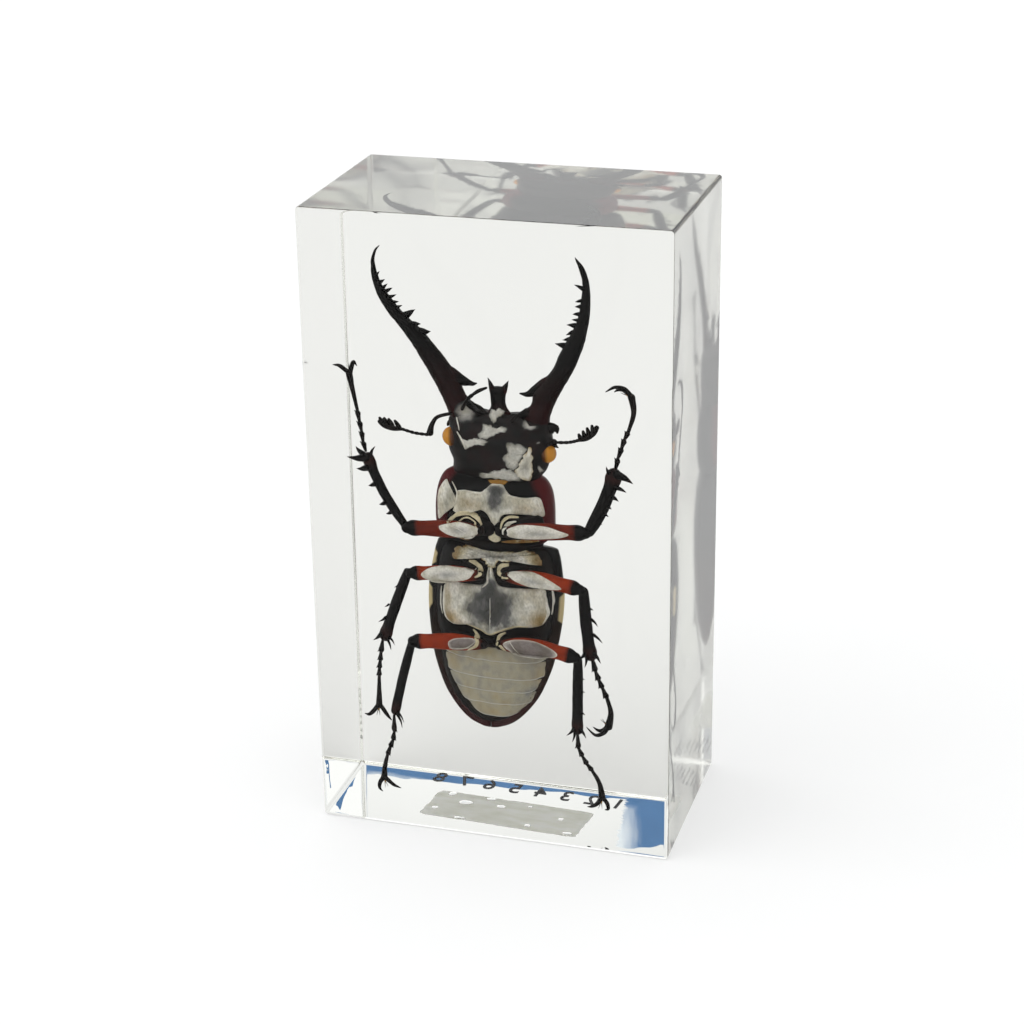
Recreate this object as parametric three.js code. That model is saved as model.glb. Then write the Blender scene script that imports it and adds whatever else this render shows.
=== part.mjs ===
// A clear cast resin block that holds a mounted stag beetle, with an adhesive label under its base.
// Millimetres, +Z up. The origin is the middle of the base, on the surface that the block stands on.
// The front of the block, towards -Y, shows the underside of the insect.

import * as THREE from 'three';
import { RoundedBoxGeometry } from 'three/addons/geometries/RoundedBoxGeometry.js';

// The block: width along X, depth along Y, height along Z.
const BLOCK_WIDTH = 62;
const BLOCK_DEPTH = 36;
const BLOCK_HEIGHT = 110;
const EDGE_RADIUS = 0.6;
const EDGE_SEGMENTS = 4;

// The label: a small rounded rectangle, stuck a little askew and forward of the middle.
const LABEL_LENGTH = 29;
const LABEL_WIDTH = 16;
const LABEL_THICKNESS = 0.1;
const LABEL_CORNER_RADIUS = 1.2;
const LABEL_CORNER_SEGMENTS = 6;
const LABEL_OFFSET_Y = -3;
const LABEL_TURN_DEG = -4.2;

// Polished resin, a shade warmer than water-clear.
const resinMaterial = new THREE.MeshStandardMaterial({
  name: 'resin',
  color: 0xf2f4ee,
  roughness: 0.03,
  metalness: 0,
  transparent: true,
  opacity: 0.2,
});

// Uncoated label stock, greyed by the adhesive behind it.
const labelMaterial = new THREE.MeshStandardMaterial({
  name: 'label',
  color: 0xd3d0c2,
  roughness: 0.75,
  metalness: 0,
});

function makeResinBlock() {
  const geometry = new RoundedBoxGeometry(
    BLOCK_WIDTH,
    BLOCK_DEPTH,
    BLOCK_HEIGHT,
    EDGE_SEGMENTS,
    EDGE_RADIUS,
  );
  const block = new THREE.Mesh(geometry, resinMaterial);
  block.name = 'resin_block';
  block.position.z = LABEL_THICKNESS + BLOCK_HEIGHT / 2;
  return block;
}

// A rectangle centred on the origin, with quarter-circle corners.
function roundedRectangle(length, width, radius) {
  const x = length / 2 - radius;
  const y = width / 2 - radius;
  const shape = new THREE.Shape();
  shape.absarc(x, y, radius, 0, Math.PI / 2);
  shape.absarc(-x, y, radius, Math.PI / 2, Math.PI);
  shape.absarc(-x, -y, radius, Math.PI, Math.PI * 1.5);
  shape.absarc(x, -y, radius, Math.PI * 1.5, Math.PI * 2);
  shape.closePath();
  return shape;
}

function makeBaseLabel() {
  const outline = roundedRectangle(LABEL_LENGTH, LABEL_WIDTH, LABEL_CORNER_RADIUS);
  const geometry = new THREE.ExtrudeGeometry(outline, {
    depth: LABEL_THICKNESS,
    bevelEnabled: false,
    curveSegments: LABEL_CORNER_SEGMENTS,
  });
  const label = new THREE.Mesh(geometry, labelMaterial);
  label.name = 'base_label';
  label.position.y = LABEL_OFFSET_Y;
  label.rotation.z = THREE.MathUtils.degToRad(LABEL_TURN_DEG);
  return label;
}

const insectInResinBlock = new THREE.Group();
insectInResinBlock.add(makeResinBlock(), makeBaseLabel());

export default insectInResinBlock;
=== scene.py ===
"""A stag beetle cast in a clear resin block, with a blank label and plain numbers under the base.

Lengths are millimetres in the block's frame until a piece is made, which turns them into metres.
X is across the block, Z is up it, and the front of the block, towards -Y, shows the beetle's underside.
"""

import math

import bmesh
import bpy
from mathutils import Matrix, Vector, noise
from mathutils.bvhtree import BVHTree


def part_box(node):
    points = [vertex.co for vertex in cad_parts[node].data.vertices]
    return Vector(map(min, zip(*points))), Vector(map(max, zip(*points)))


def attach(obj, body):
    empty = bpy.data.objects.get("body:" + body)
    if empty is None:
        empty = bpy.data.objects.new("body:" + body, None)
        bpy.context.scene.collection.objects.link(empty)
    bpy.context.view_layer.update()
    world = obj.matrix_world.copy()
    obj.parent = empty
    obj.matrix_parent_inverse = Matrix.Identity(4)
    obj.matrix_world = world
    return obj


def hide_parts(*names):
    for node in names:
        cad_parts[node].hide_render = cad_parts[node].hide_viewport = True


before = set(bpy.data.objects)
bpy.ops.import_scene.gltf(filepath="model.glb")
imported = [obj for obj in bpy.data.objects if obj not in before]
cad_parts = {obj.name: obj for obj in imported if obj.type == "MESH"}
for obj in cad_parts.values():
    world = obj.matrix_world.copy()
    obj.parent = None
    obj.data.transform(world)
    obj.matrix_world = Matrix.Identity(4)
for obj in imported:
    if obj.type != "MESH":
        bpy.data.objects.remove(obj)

MM = 0.001
BODY = "root"
# The seed of the noise that roughens surfaces. Without one, Blender takes it from the clock.
NOISE_SEED = 1
noise.seed_set(NOISE_SEED)
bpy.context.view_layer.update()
block_low, block_high = (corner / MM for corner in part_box("resin_block"))
label_low, label_high = (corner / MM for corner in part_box("base_label"))

# ---------------------------------------------------------------- camera

CAMERA_AZIMUTH = math.radians(16.81)
CAMERA_ELEVATION = math.radians(22.28)
CAMERA_ROLL = math.radians(-0.92)
CAMERA_DISTANCE = 415.6
CAMERA_AIM = Vector((-0.94, 0, 53.56))
CAMERA_LENS = 85.36


def add_camera():
    """The camera looks down on the block's front from the right, turned a little about its own axis."""
    back = Vector((
        math.sin(CAMERA_AZIMUTH) * math.cos(CAMERA_ELEVATION),
        -math.cos(CAMERA_AZIMUTH) * math.cos(CAMERA_ELEVATION),
        math.sin(CAMERA_ELEVATION),
    ))
    level_right = Vector((0, 0, 1)).cross(back).normalized()
    level_up = back.cross(level_right)
    right = level_right * math.cos(CAMERA_ROLL) + level_up * math.sin(CAMERA_ROLL)
    up = back.cross(right)
    data = bpy.data.cameras.new("camera")
    data.lens = CAMERA_LENS
    data.clip_start = 0.01
    data.clip_end = 20
    camera = bpy.data.objects.new("camera", data)
    turn = Matrix((right, up, back)).transposed().to_4x4()
    camera.matrix_world = Matrix.Translation((CAMERA_AIM + back * CAMERA_DISTANCE) * MM) @ turn
    bpy.context.scene.collection.objects.link(camera)
    bpy.context.scene.camera = camera


add_camera()

# ---------------------------------------------------------------- shapes

FRONT = Vector((0, -1, 0))
BACK = Vector((0, 1, 0))
MID_Y = 0.5
# Where a tube's round ends have rings, in degrees back from the tip.
CAP_ANGLES = (68, 45, 22)
LEAST_RADIUS = 0.01
RIDGES_ROUND = 4
# A thorn's half width at its middle over that at its base, and its half width at the tip.
THORN_MIDDLE = 0.62
THORN_TIP = 0.03
# A depth in front of everything, from which lines are cast back at surfaces.
OUTSIDE_Y = -40.0
PARALLEL = 1e-3


def at(point, y):
    """An (x, z) point at the depth y."""
    return Vector((point[0], y, point[1]))


def turns(sides):
    """The angles of a ring's corners."""
    return [2 * math.pi * i / sides for i in range(sides)]


def between(a, b, c, d, t):
    """A smooth curve through four values, at a share t of the way from the second to the third."""
    return 0.5 * (
        2 * b + (c - a) * t + (2 * a - 5 * b + 4 * c - d) * t * t + (3 * b - a - 3 * c + d) * t ** 3
    )


def spline(points, steps, closed=False):
    """Points along a smooth curve through the given ones, with so many steps to a stretch."""
    count = len(points)
    out = []
    for i in range(count if closed else count - 1):
        if closed:
            near = [points[(i + k) % count] for k in (-1, 0, 1, 2)]
        else:
            near = [points[min(max(i + k, 0), count - 1)] for k in (-1, 0, 1, 2)]
        out += [tuple(between(*four, step / steps) for four in zip(*near)) for step in range(steps)]
    return out if closed else out + [tuple(points[-1])]


class Form:
    """Closed skins in millimetres that make up one piece, with three numbers kept at each point.

    along runs from 0 to 1 down a limb or plate, inner from 0 at a patch's rim to 1 in its middle, and
    stain is how far a point is stained.
    """

    def __init__(self):
        self.points, self.faces, self.along, self.inner, self.stain = [], [], [], [], []

    def put(self, point, along=0.0, inner=0.0, stain=0.0):
        """Adds a point with its numbers, and returns its index."""
        self.points.append(Vector(point))
        self.along.append(along)
        self.inner.append(inner)
        self.stain.append(stain)
        return len(self.points) - 1

    def stitch(self, rows, closed=True):
        """Faces between rows of points, which are rings or, if not closed, lines across a sheet."""
        count = len(rows[0])
        for a, b in zip(rows, rows[1:]):
            for i in range(count if closed else count - 1):
                j = (i + 1) % count
                self.faces.append((a[i], a[j], b[j], b[i]))

    def fan(self, ring, middle):
        """Faces between a ring of points and one in its middle."""
        for i, point in enumerate(ring):
            self.faces.append((point, ring[(i + 1) % len(ring)], middle))

    def skin(self, rings, alongs=None):
        """A closed skin over rings of points, drawn to a middle point at each end."""
        alongs = alongs or [k / (len(rings) - 1) for k in range(len(rings))]
        rows = [[self.put(p, along) for p in ring] for ring, along in zip(rings, alongs)]
        self.stitch(rows)
        for end in (0, -1):
            middle = sum((Vector(p) for p in rings[end]), Vector()) / len(rings[end])
            self.fan(rows[end], self.put(middle, alongs[end]))
        return self

    def tube(self, path, radii, flat=1.0, sides=12, steps=4, facing=FRONT, ridges=0.0):
        """A round-ended tube through the path's points; flat is its depth over its width."""
        rows = spline([(*p, r) for p, r in zip(path, radii)], steps)
        centres = [Vector(row[:3]) for row in rows]
        sizes = [max(row[3], LEAST_RADIUS) for row in rows]
        last = len(rows) - 1
        heads = [(centres[min(i + 1, last)] - centres[max(i - 1, 0)]).normalized() for i in range(last + 1)]
        stations = [(c, h, s, i / last) for i, (c, h, s) in enumerate(zip(centres, heads, sizes))]
        for end, sign in ((0, -1), (last, 1)):
            for angle in CAP_ANGLES:
                reach = sizes[end] * math.cos(math.radians(angle)) * sign
                cap = (
                    centres[end] + heads[end] * reach,
                    heads[end],
                    sizes[end] * math.sin(math.radians(angle)),
                    end / last,
                )
                stations = [cap] + stations if sign < 0 else stations + [cap]
        rings = []
        for centre, heading, size, _ in stations:
            side = heading.cross(facing)
            side = side.normalized() if side.length > PARALLEL else Vector((1, 0, 0))
            lift = side.cross(heading).normalized()
            ring = []
            for turn in turns(sides):
                reach = size * (1 + ridges * math.cos(RIDGES_ROUND * turn))
                ring.append(centre + side * reach * math.cos(turn) + lift * reach * flat * math.sin(turn))
            rings.append(ring)
        return self.skin(rings, [s[3] for s in stations])

    def blade(self, rows, depth, flat=0.7, steps=5, sides=24):
        """A flattened horn between two edges: rows of (outer x, outer z, inner x, inner z, depth added)."""
        rings = []
        for ox, oz, ix, iz, dy in spline(rows, steps):
            outer, inner = Vector((ox, depth + dy, oz)), Vector((ix, depth + dy, iz))
            middle, half = (outer + inner) / 2, (outer - inner) / 2
            deep = BACK * half.length * flat
            rings.append([middle + half * math.cos(turn) + deep * math.sin(turn) for turn in turns(sides)])
        return self.skin(rings)

    def spike(self, base, tip, radius, bend=(0, 0, 0), flat=1.0):
        """A thorn from base to tip, bowed by bend at its middle."""
        base, tip = Vector(base), Vector(tip)
        middle = (base + tip) / 2 + Vector(bend)
        return self.tube([base, middle, tip], [radius, radius * THORN_MIDDLE, THORN_TIP], flat=flat, sides=8)

    def hull(self, sections, steps=5, sides=48, power=2.3):
        """A body lofted up Z, in sections of (z, middle x, half width, depth to front, depth to back)."""
        rings = []
        for z, x, half, front, back in spline(sections, steps):
            ring = []
            for turn in turns(sides):
                c, s = math.cos(turn), math.sin(turn)
                across = math.copysign(abs(c) ** (2 / power), c) * half
                deep = abs(s) ** (2 / power) * (back if s > 0 else -front)
                ring.append((x + across, MID_Y + deep, z))
            rings.append(ring)
        return self.skin(rings)

    def rough(self, amount, size, seed=0.0):
        """Moves the points by a smooth noise of that amount and size, for a surface that isn't machined."""
        for i, p in enumerate(self.points):
            self.points[i] = p + noise.noise_vector(p / size + Vector((seed, seed, seed))) * amount
        return self

    def surface(self):
        """The form as a thing that lines can be cast at."""
        return BVHTree.FromPolygons(self.points, self.faces)


def front_y(surfaces, x, z, otherwise):
    """Where a line along +Y at x, z first meets one of the surfaces."""
    hits = [s.ray_cast(Vector((x, OUTSIDE_Y, z)), BACK)[0] for s in surfaces]
    depths = [h.y for h in hits if h is not None]
    return min(depths) if depths else otherwise


def frayed(x, z, seed):
    """Noise with a broad and a fine part, for edges that have frayed."""
    return noise.noise((x * 1.3, z * 1.3, seed)) + 0.6 * noise.noise((x * 4.5, z * 4.5, seed + 3))


# The rings of a patch, as shares of the way from its middle to its rim.
PATCH_RINGS = (0.18, 0.36, 0.52, 0.66, 0.78, 0.87, 0.94, 0.98, 1.0)
PATCH_STEPS = 4


def patch(outline, surfaces, lift, sink=0.05, ragged=0.0, seed=0.0, crisp=6, tone=None, stain=None):
    """A thin closed cushion with the outline (x, z) that lies on the surfaces, seen from the front.

    tone and stain, where given, are functions of x and z for the numbers kept at each point.
    """
    rim = spline(outline, PATCH_STEPS * 3 if ragged else PATCH_STEPS, closed=True)
    rim = [(x + ragged * frayed(x, z, seed), z + ragged * frayed(x, z, seed + 9)) for x, z in rim]
    mid_x, mid_z = (sum(values) / len(rim) for values in zip(*rim))
    base = front_y(surfaces, mid_x, mid_z, 0)
    form = Form()

    def put(x, z, share, outer):
        """Adds a point of the upper or the under side, at a share of the way from the middle to the rim."""
        y = front_y(surfaces, x, z, base) + (-lift * (1 - share ** crisp) ** 0.5 if outer else sink)
        # On the silver plates, tone places their painted grey reflection.
        inner = tone(x, z) if tone else 1 - share
        return form.put((x, y, z), 0, inner, stain(x, z) if stain else 0)

    rims = []
    for outer in (True, False):
        rows = [
            [put(mid_x + (x - mid_x) * share, mid_z + (z - mid_z) * share, share, outer) for x, z in rim]
            for share in PATCH_RINGS
        ]
        form.fan(rows[0], put(mid_x, mid_z, 0, outer))
        form.stitch(rows)
        rims.append(rows[-1])
    form.stitch(rims)
    return form


RIBBON_STEPS = 5
RIBBON_ACROSS = 6
# How far a ribbon reaches into the surface that it lies on.
RIBBON_SINK = 0.05


def ribbon(path, widths, surfaces, lift):
    """A thin closed strip along a path of (x, z) points that lies on the surfaces."""
    rows = spline([(*p, w) for p, w in zip(path, widths)], RIBBON_STEPS)
    last = len(rows) - 1
    rings = []
    for k, (x, z, width) in enumerate(rows):
        ahead, behind = rows[min(k + 1, last)], rows[max(k - 1, 0)]
        way = Vector((ahead[0] - behind[0], ahead[1] - behind[1])).normalized()
        top, under = [], []
        for i in range(RIBBON_ACROSS + 1):
            share = 2 * i / RIBBON_ACROSS - 1
            px, pz = x - way.y * width / 2 * share, z + way.x * width / 2 * share
            y = front_y(surfaces, px, pz, 0)
            top.append((px, y - lift * (1 - share ** 4) ** 0.5, pz))
            under.append((px, y + RIBBON_SINK, pz))
        rings.append(top + under[::-1])
    return Form().skin(rings)


# Edges shorter than this, in metres, are dissolved.
LEAST_EDGE = 1e-7


def add_attribute(mesh, name, values):
    """Keeps a number at each of the mesh's points."""
    mesh.attributes.new(name, "FLOAT", "POINT").data.foreach_set("value", values)


def smooth(mesh):
    """Shades a mesh's faces smoothly."""
    mesh.polygons.foreach_set("use_smooth", [True] * len(mesh.polygons))


def add_object(name, mesh, material):
    """Puts a mesh with its material into the scene."""
    mesh.materials.append(material)
    thing = bpy.data.objects.new(name, mesh)
    bpy.context.scene.collection.objects.link(thing)
    return thing


def add_piece(name, mesh, material, slot):
    """Puts a mesh into the scene as a piece that rides on the block's body."""
    piece = add_object(name, mesh, material)
    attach(piece, BODY)
    return piece


def make_piece(name, form, material, slot):
    """Turns a form into a named piece in metres."""
    mesh = bpy.data.meshes.new(name)
    mesh.from_pydata([p * MM for p in form.points], [], form.faces)
    add_attribute(mesh, "along", form.along)
    add_attribute(mesh, "inner", form.inner)
    add_attribute(mesh, "stain", form.stain)
    tidy = bmesh.new()
    tidy.from_mesh(mesh)
    bmesh.ops.dissolve_degenerate(tidy, dist=LEAST_EDGE, edges=tidy.edges)
    bmesh.ops.recalc_face_normals(tidy, faces=tidy.faces)
    tidy.to_mesh(mesh)
    tidy.free()
    smooth(mesh)
    return add_piece(name, mesh, material, slot)


# ---------------------------------------------------------------- materials

WHITE = (1, 1, 1)
# Sockets of the mix node for its colours.
MIX_SHARE, MIX_A, MIX_B, MIX_OUT = 0, 6, 7, 2


class Nodes:
    """Short ways to add nodes to a tree. A value is a number, a colour or another node's output."""

    def __init__(self, tree):
        self.tree = tree

    def feed(self, socket, value):
        """Gives a socket its value."""
        if isinstance(value, bpy.types.NodeSocket):
            self.tree.links.new(value, socket)
        elif socket.type == "RGBA":
            socket.default_value = (*value, 1)
        else:
            socket.default_value = value

    def node(self, kind, inputs, output, **settings):
        """Adds a node with its settings and its inputs' values, and returns one of its outputs."""
        node = self.tree.nodes.new("ShaderNode" + kind)
        for name, value in settings.items():
            setattr(node, name, value)
        for name, value in inputs.items():
            self.feed(node.inputs[name], value)
        return node.outputs[output]

    def attribute(self, name):
        """A number kept at the mesh's points."""
        return self.node("Attribute", {}, "Fac", attribute_name=name)

    def place(self, stretch=(1, 1, 1)):
        """Places in the object's own metres, stretched."""
        place = self.node("TexCoord", {}, "Object")
        return self.node("Mapping", {"Vector": place, "Scale": stretch}, "Vector")

    def clouds(self, scale, detail=2.0, stretch=(1, 1, 1)):
        """A soft noise from 0 to 1."""
        inputs = {"Vector": self.place(stretch), "Scale": scale, "Detail": detail}
        return self.node("TexNoise", inputs, "Fac")

    def cells(self, scale):
        """Fine pits: the distance from the nearest of many scattered points."""
        return self.node("TexVoronoi", {"Vector": self.place(), "Scale": scale}, "Distance")

    def math(self, operation, a, b):
        """A sum, difference or product of two values."""
        return self.node("Math", {0: a, 1: b}, "Value", operation=operation)

    def wobbled(self, source, scale, amount, stretch=(1, 1, 1)):
        """A value pushed up and down by a noise."""
        push = self.math("MULTIPLY", self.math("SUBTRACT", self.clouds(scale, 5, stretch), 0.5), amount)
        return self.math("ADD", source, push)

    def spread(self, source, low, high, start=0.0, end=1.0):
        """Maps a value between start and end onto the range from low to high."""
        ends = {"From Min": start, "From Max": end, "To Min": low, "To Max": high}
        return self.node("MapRange", {"Value": source, **ends}, "Result")

    def ramp(self, source, *stops):
        """A colour ramp over a value. A stop is (position, colour)."""
        out = self.node("ValToRGB", {"Fac": source}, "Color")
        band = out.node.color_ramp
        band.elements[0].position, band.elements[1].position = stops[0][0], stops[-1][0]
        band.elements[0].color, band.elements[1].color = (*stops[0][1], 1), (*stops[-1][1], 1)
        for position, colour in stops[1:-1]:
            band.elements.new(position).color = (*colour, 1)
        return out

    def mix(self, share, a, b, blend="MIX"):
        """Two colours mixed, or one blended onto the other."""
        sockets = {MIX_SHARE: share, MIX_A: a, MIX_B: b}
        return self.node("Mix", sockets, MIX_OUT, data_type="RGBA", blend_type=blend)

    def times(self, a, b):
        """Two colours multiplied."""
        return self.mix(1.0, a, b, "MULTIPLY")

    def facing(self, directions, way, edges):
        """How nearly the sky's direction faces a way, eased between two cosines."""
        unit = Vector(way).normalized()
        dot = self.node("VectorMath", {0: directions, 1: unit}, "Value", operation="DOT_PRODUCT")
        ends = {"From Min": edges[0], "From Max": edges[1]}
        return self.node("MapRange", {"Value": dot, **ends}, "Result", interpolation_type="SMOOTHSTEP")


class Look(Nodes):
    """A new material with a Principled shader."""

    def __init__(self, name):
        self.material = bpy.data.materials.new(name)
        self.material.use_nodes = True
        super().__init__(self.material.node_tree)
        self.shader = next(n for n in self.tree.nodes if n.type == "BSDF_PRINCIPLED")

    def set(self, **values):
        """Gives the shader's inputs their values. An input's name has _ for each space."""
        for name, value in values.items():
            self.feed(self.shader.inputs[name.replace("_", " ")], value)

    def relief(self, height, strength, distance):
        """Bumps of that strength, and of that depth in millimetres."""
        inputs = {"Height": height, "Strength": strength, "Distance": distance * MM}
        self.set(Normal=self.node("Bump", inputs, "Normal"))


BLACK = (0.003, 0.0025, 0.0025)
SOFT_BLACK = (0.011, 0.007, 0.006)
RED_BLACK = (0.012, 0.003, 0.003)
DARK_RED = (0.050, 0.005, 0.006)
MARGIN_RED = (0.080, 0.006, 0.008)
THIGH_RED = (0.37, 0.042, 0.010)
FORE_THIGH_RED = (0.19, 0.021, 0.008)
# The air films' silver, mid and grey are painted reflection of the lit tent and the dim camera side.
SILVER = (0.93, 0.90, 0.82)
FILM_REFLECTION_MID = (0.52, 0.50, 0.46)
FILM_REFLECTION_GREY = (0.16, 0.16, 0.165)
BEIGE = (0.46, 0.42, 0.32)
BEIGE_GREY = (0.30, 0.295, 0.27)
TAN = (0.50, 0.36, 0.17)
CREAM = (0.88, 0.80, 0.58)
AMBER = (0.68, 0.28, 0.022)
AMBER_DARK = (0.12, 0.035, 0.004)
GOLD_BROWN = (0.34, 0.17, 0.04)


PITS = 0.05
GRAIN_DEPTH = 0.08


def cuticle(name, dark, light, grain=2600, shine=0.1):
    """Insect cuticle: two tones of one colour in soft clouds, with fine pits that catch the light."""
    look = Look(name)
    cloud = look.clouds(420, 4)
    colour = look.ramp(cloud, (0.4, dark), (0.7, light))
    look.set(Base_Color=colour, Roughness=look.spread(cloud, 0.3, 0.5), Specular_IOR_Level=shine)
    look.relief(look.cells(grain), 0.4, PITS)
    return look.material


def limb_cuticle(name, *stops):
    """Cuticle whose colour changes down the limb, at stops of (share of the length, colour)."""
    look = Look(name)
    cloud = look.clouds(700, 4)
    down = look.wobbled(look.attribute("along"), 900, 0.08)
    shade = look.ramp(cloud, (0.3, (0.6, 0.55, 0.5)), (0.7, WHITE))
    colour = look.times(look.ramp(down, *stops), shade)
    look.set(Base_Color=colour, Roughness=look.spread(cloud, 0.3, 0.48), Specular_IOR_Level=0.1)
    look.relief(look.cells(2200), 0.35, PITS)
    return look.material


def margined_cuticle(name, *stops):
    """Black cuticle with a coloured margin. The stops run over the piece's inner number."""
    look = Look(name)
    colour = look.ramp(look.wobbled(look.attribute("inner"), 300, 0.2), *stops)
    rough = look.spread(look.clouds(420, 4), 0.3, 0.5)
    look.set(Base_Color=colour, Roughness=rough, Specular_IOR_Level=0.1)
    look.relief(look.cells(1700), 0.35, PITS)
    return look.material


def film(name, *stops, cloud=0.4, streak=(1, 1, 1), scale=700, grit=0.80):
    """A skin of trapped air or a pale plate, streaked. The stops run over the piece's inner number."""
    look = Look(name)
    # On the silver films this ramp paints the air's reflection: silver at the rim, grey towards the middle.
    body = look.ramp(look.wobbled(look.attribute("inner"), scale, cloud, streak), *stops)
    dirt = look.spread(look.wobbled(look.attribute("stain"), 500, 0.5), 0, 1, 0.15, 0.85)
    body = look.mix(dirt, body, TAN)
    fine = look.clouds(3000, 4, streak)
    body = look.times(body, look.ramp(fine, (0.32, (grit, grit * 0.99, grit * 0.97)), (0.62, WHITE)))
    broad = look.ramp(look.clouds(420, 6, streak), (0.38, (0.70, 0.68, 0.62)), (0.56, WHITE))
    colour = look.times(body, broad)
    look.set(Base_Color=colour, Roughness=look.spread(fine, 0.32, 0.5), Specular_IOR_Level=0.4)
    look.relief(fine, 0.5, GRAIN_DEPTH)
    return look.material


mat_black = cuticle("black_cuticle", BLACK, SOFT_BLACK)
mat_foot = cuticle("foot_cuticle", BLACK, SOFT_BLACK)
mat_dorsal = cuticle("grained_black_cuticle", BLACK, RED_BLACK, grain=1500, shine=0.16)
mat_amber = cuticle("amber_membrane", GOLD_BROWN, (0.40, 0.22, 0.05), grain=3000)
mat_pronotum = margined_cuticle(
    "red_black_cuticle",
    (0.0, BLACK), (0.72, BLACK), (0.85, MARGIN_RED), (1.0, MARGIN_RED),
)
mat_mandible = limb_cuticle(
    "mandible_cuticle",
    (0.0, (0.028, 0.002, 0.003)), (0.24, (0.012, 0.002, 0.002)), (0.4, BLACK), (1.0, BLACK),
)
mat_fork = limb_cuticle("fork_cuticle", (0.0, DARK_RED), (0.3, RED_BLACK), (0.5, BLACK), (1.0, BLACK))
mat_tibia = limb_cuticle(
    "tibia_cuticle",
    (0.0, BLACK), (0.6, BLACK), (0.85, (0.03, 0.008, 0.006)), (1.0, RED_BLACK),
)
mat_femur = limb_cuticle(
    "femur_cuticle",
    (0.0, SOFT_BLACK), (0.1, (0.12, 0.02, 0.01)), (0.25, THIGH_RED), (0.74, THIGH_RED),
    (0.82, BLACK), (1.0, BLACK),
)
mat_fore_femur = limb_cuticle(
    "fore_femur_cuticle",
    (0.0, SOFT_BLACK), (0.1, (0.1, 0.02, 0.01)), (0.3, FORE_THIGH_RED), (0.7, FORE_THIGH_RED),
    (0.8, BLACK), (1.0, BLACK),
)
# In the plate, thigh, mauve, band and wedge films, the run from silver to grey is painted reflection.
mat_plate = film(
    "silver_plate",
    (0.0, (0.84, 0.79, 0.67)), (0.12, SILVER), (0.38, (0.70, 0.68, 0.61)),
    (0.7, (0.15, 0.148, 0.146)), (1.0, (0.058, 0.057, 0.056)),
    cloud=1.0, streak=(1, 1, 0.6), scale=760, grit=0.72,
)
mat_thigh_film = film(
    "thigh_film",
    (0.0, SILVER), (0.25, SILVER), (0.6, (0.76, 0.73, 0.68)), (1.0, (0.46, 0.45, 0.43)),
)
mat_mauve_film = film(
    "mauve_film",
    (0.0, SILVER), (0.05, (0.56, 0.52, 0.48)), (0.2, (0.26, 0.22, 0.21)), (1.0, (0.24, 0.20, 0.19)),
    cloud=0.2,
)
mat_soft_film = film(
    "soft_film",
    (0.0, BLACK), (0.14, BLACK), (0.34, (0.24, 0.23, 0.22)), (0.75, (0.60, 0.58, 0.54)),
)
mat_pale_film = film(
    "pale_film",
    (0.0, BLACK), (0.05, BLACK), (0.14, (0.36, 0.35, 0.32)), (0.4, (0.74, 0.72, 0.67)),
    (1.0, (0.60, 0.59, 0.55)),
)
mat_cream = film("cream_rim", (0.0, (0.84, 0.74, 0.50)), (0.15, CREAM), (1.0, CREAM), cloud=0.3)
mat_bright = film("bright_line", (0.0, SILVER), (1.0, (0.86, 0.84, 0.78)), cloud=0.2)
mat_tee = film(
    "shoulder_band",
    (0.0, GOLD_BROWN), (0.05, TAN), (0.16, CREAM), (0.4, SILVER), (0.8, FILM_REFLECTION_MID), (1.0, FILM_REFLECTION_GREY),
    cloud=0.5, scale=900, grit=0.6,
)
mat_wedge = film(
    "head_wedge",
    (0.0, TAN), (0.05, (0.70, 0.62, 0.46)), (0.3, SILVER), (1.0, FILM_REFLECTION_MID), cloud=0.3, streak=(1, 1, 0.4),
)

# ---------------------------------------------------------------- stage and light

FLOOR_SIZE = 12.0
FLOOR_COLOUR = (0.37, 0.37, 0.37)
FLOOR_GLOW = 0.50
SKY_COLOUR = (0.99, 1.0, 1.0)
SKY_STRENGTH = 1.01
# Dim places in the tent: the way to each, the cosines it eases between, and the share of light it loses.
DIM_PLACES = (
    ((0.22, -0.93, 0.28), (0.88, 0.97), 0.93),
    ((-0.19, -0.87, 0.45), (0.94, 0.985), 0.60),
    ((-0.27, 0.84, 0.47), (0.975, 0.992), 0.08),
)
# Bright places in it: the way to each, the cosines it eases between, and the light it adds.
BRIGHT_PLACES = (
    ((-0.5, -0.65, 0.57), (0.2, 0.95), 1.5),
    ((-0.30, 0.94, 0.21), (0.93, 0.985), 0.4),
    ((0.32, 0.82, 0.48), (0.9970, 0.9995), 0.2),
)
BOUNCES = 32
DIFFUSE_BOUNCES = 4
INDIRECT_CLAMP = 6


def add_floor():
    """A white studio table, lit a little from below so that shadows on it are faint."""
    mesh = bpy.data.meshes.new("floor")
    half = FLOOR_SIZE / 2
    corners = [(-half, -half, 0), (half, -half, 0), (half, half, 0), (-half, half, 0)]
    mesh.from_pydata(corners, [], [(0, 1, 2, 3)])
    look = Look("pale_floor")
    low = tuple(c * 0.985 for c in FLOOR_COLOUR)
    look.set(Base_Color=look.ramp(look.clouds(3), (0.3, low), (0.7, FLOOR_COLOUR)))
    look.set(Roughness=1, Specular_IOR_Level=0, Emission_Color=WHITE, Emission_Strength=FLOOR_GLOW)
    floor = add_object("floor", mesh, look.material)


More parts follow.
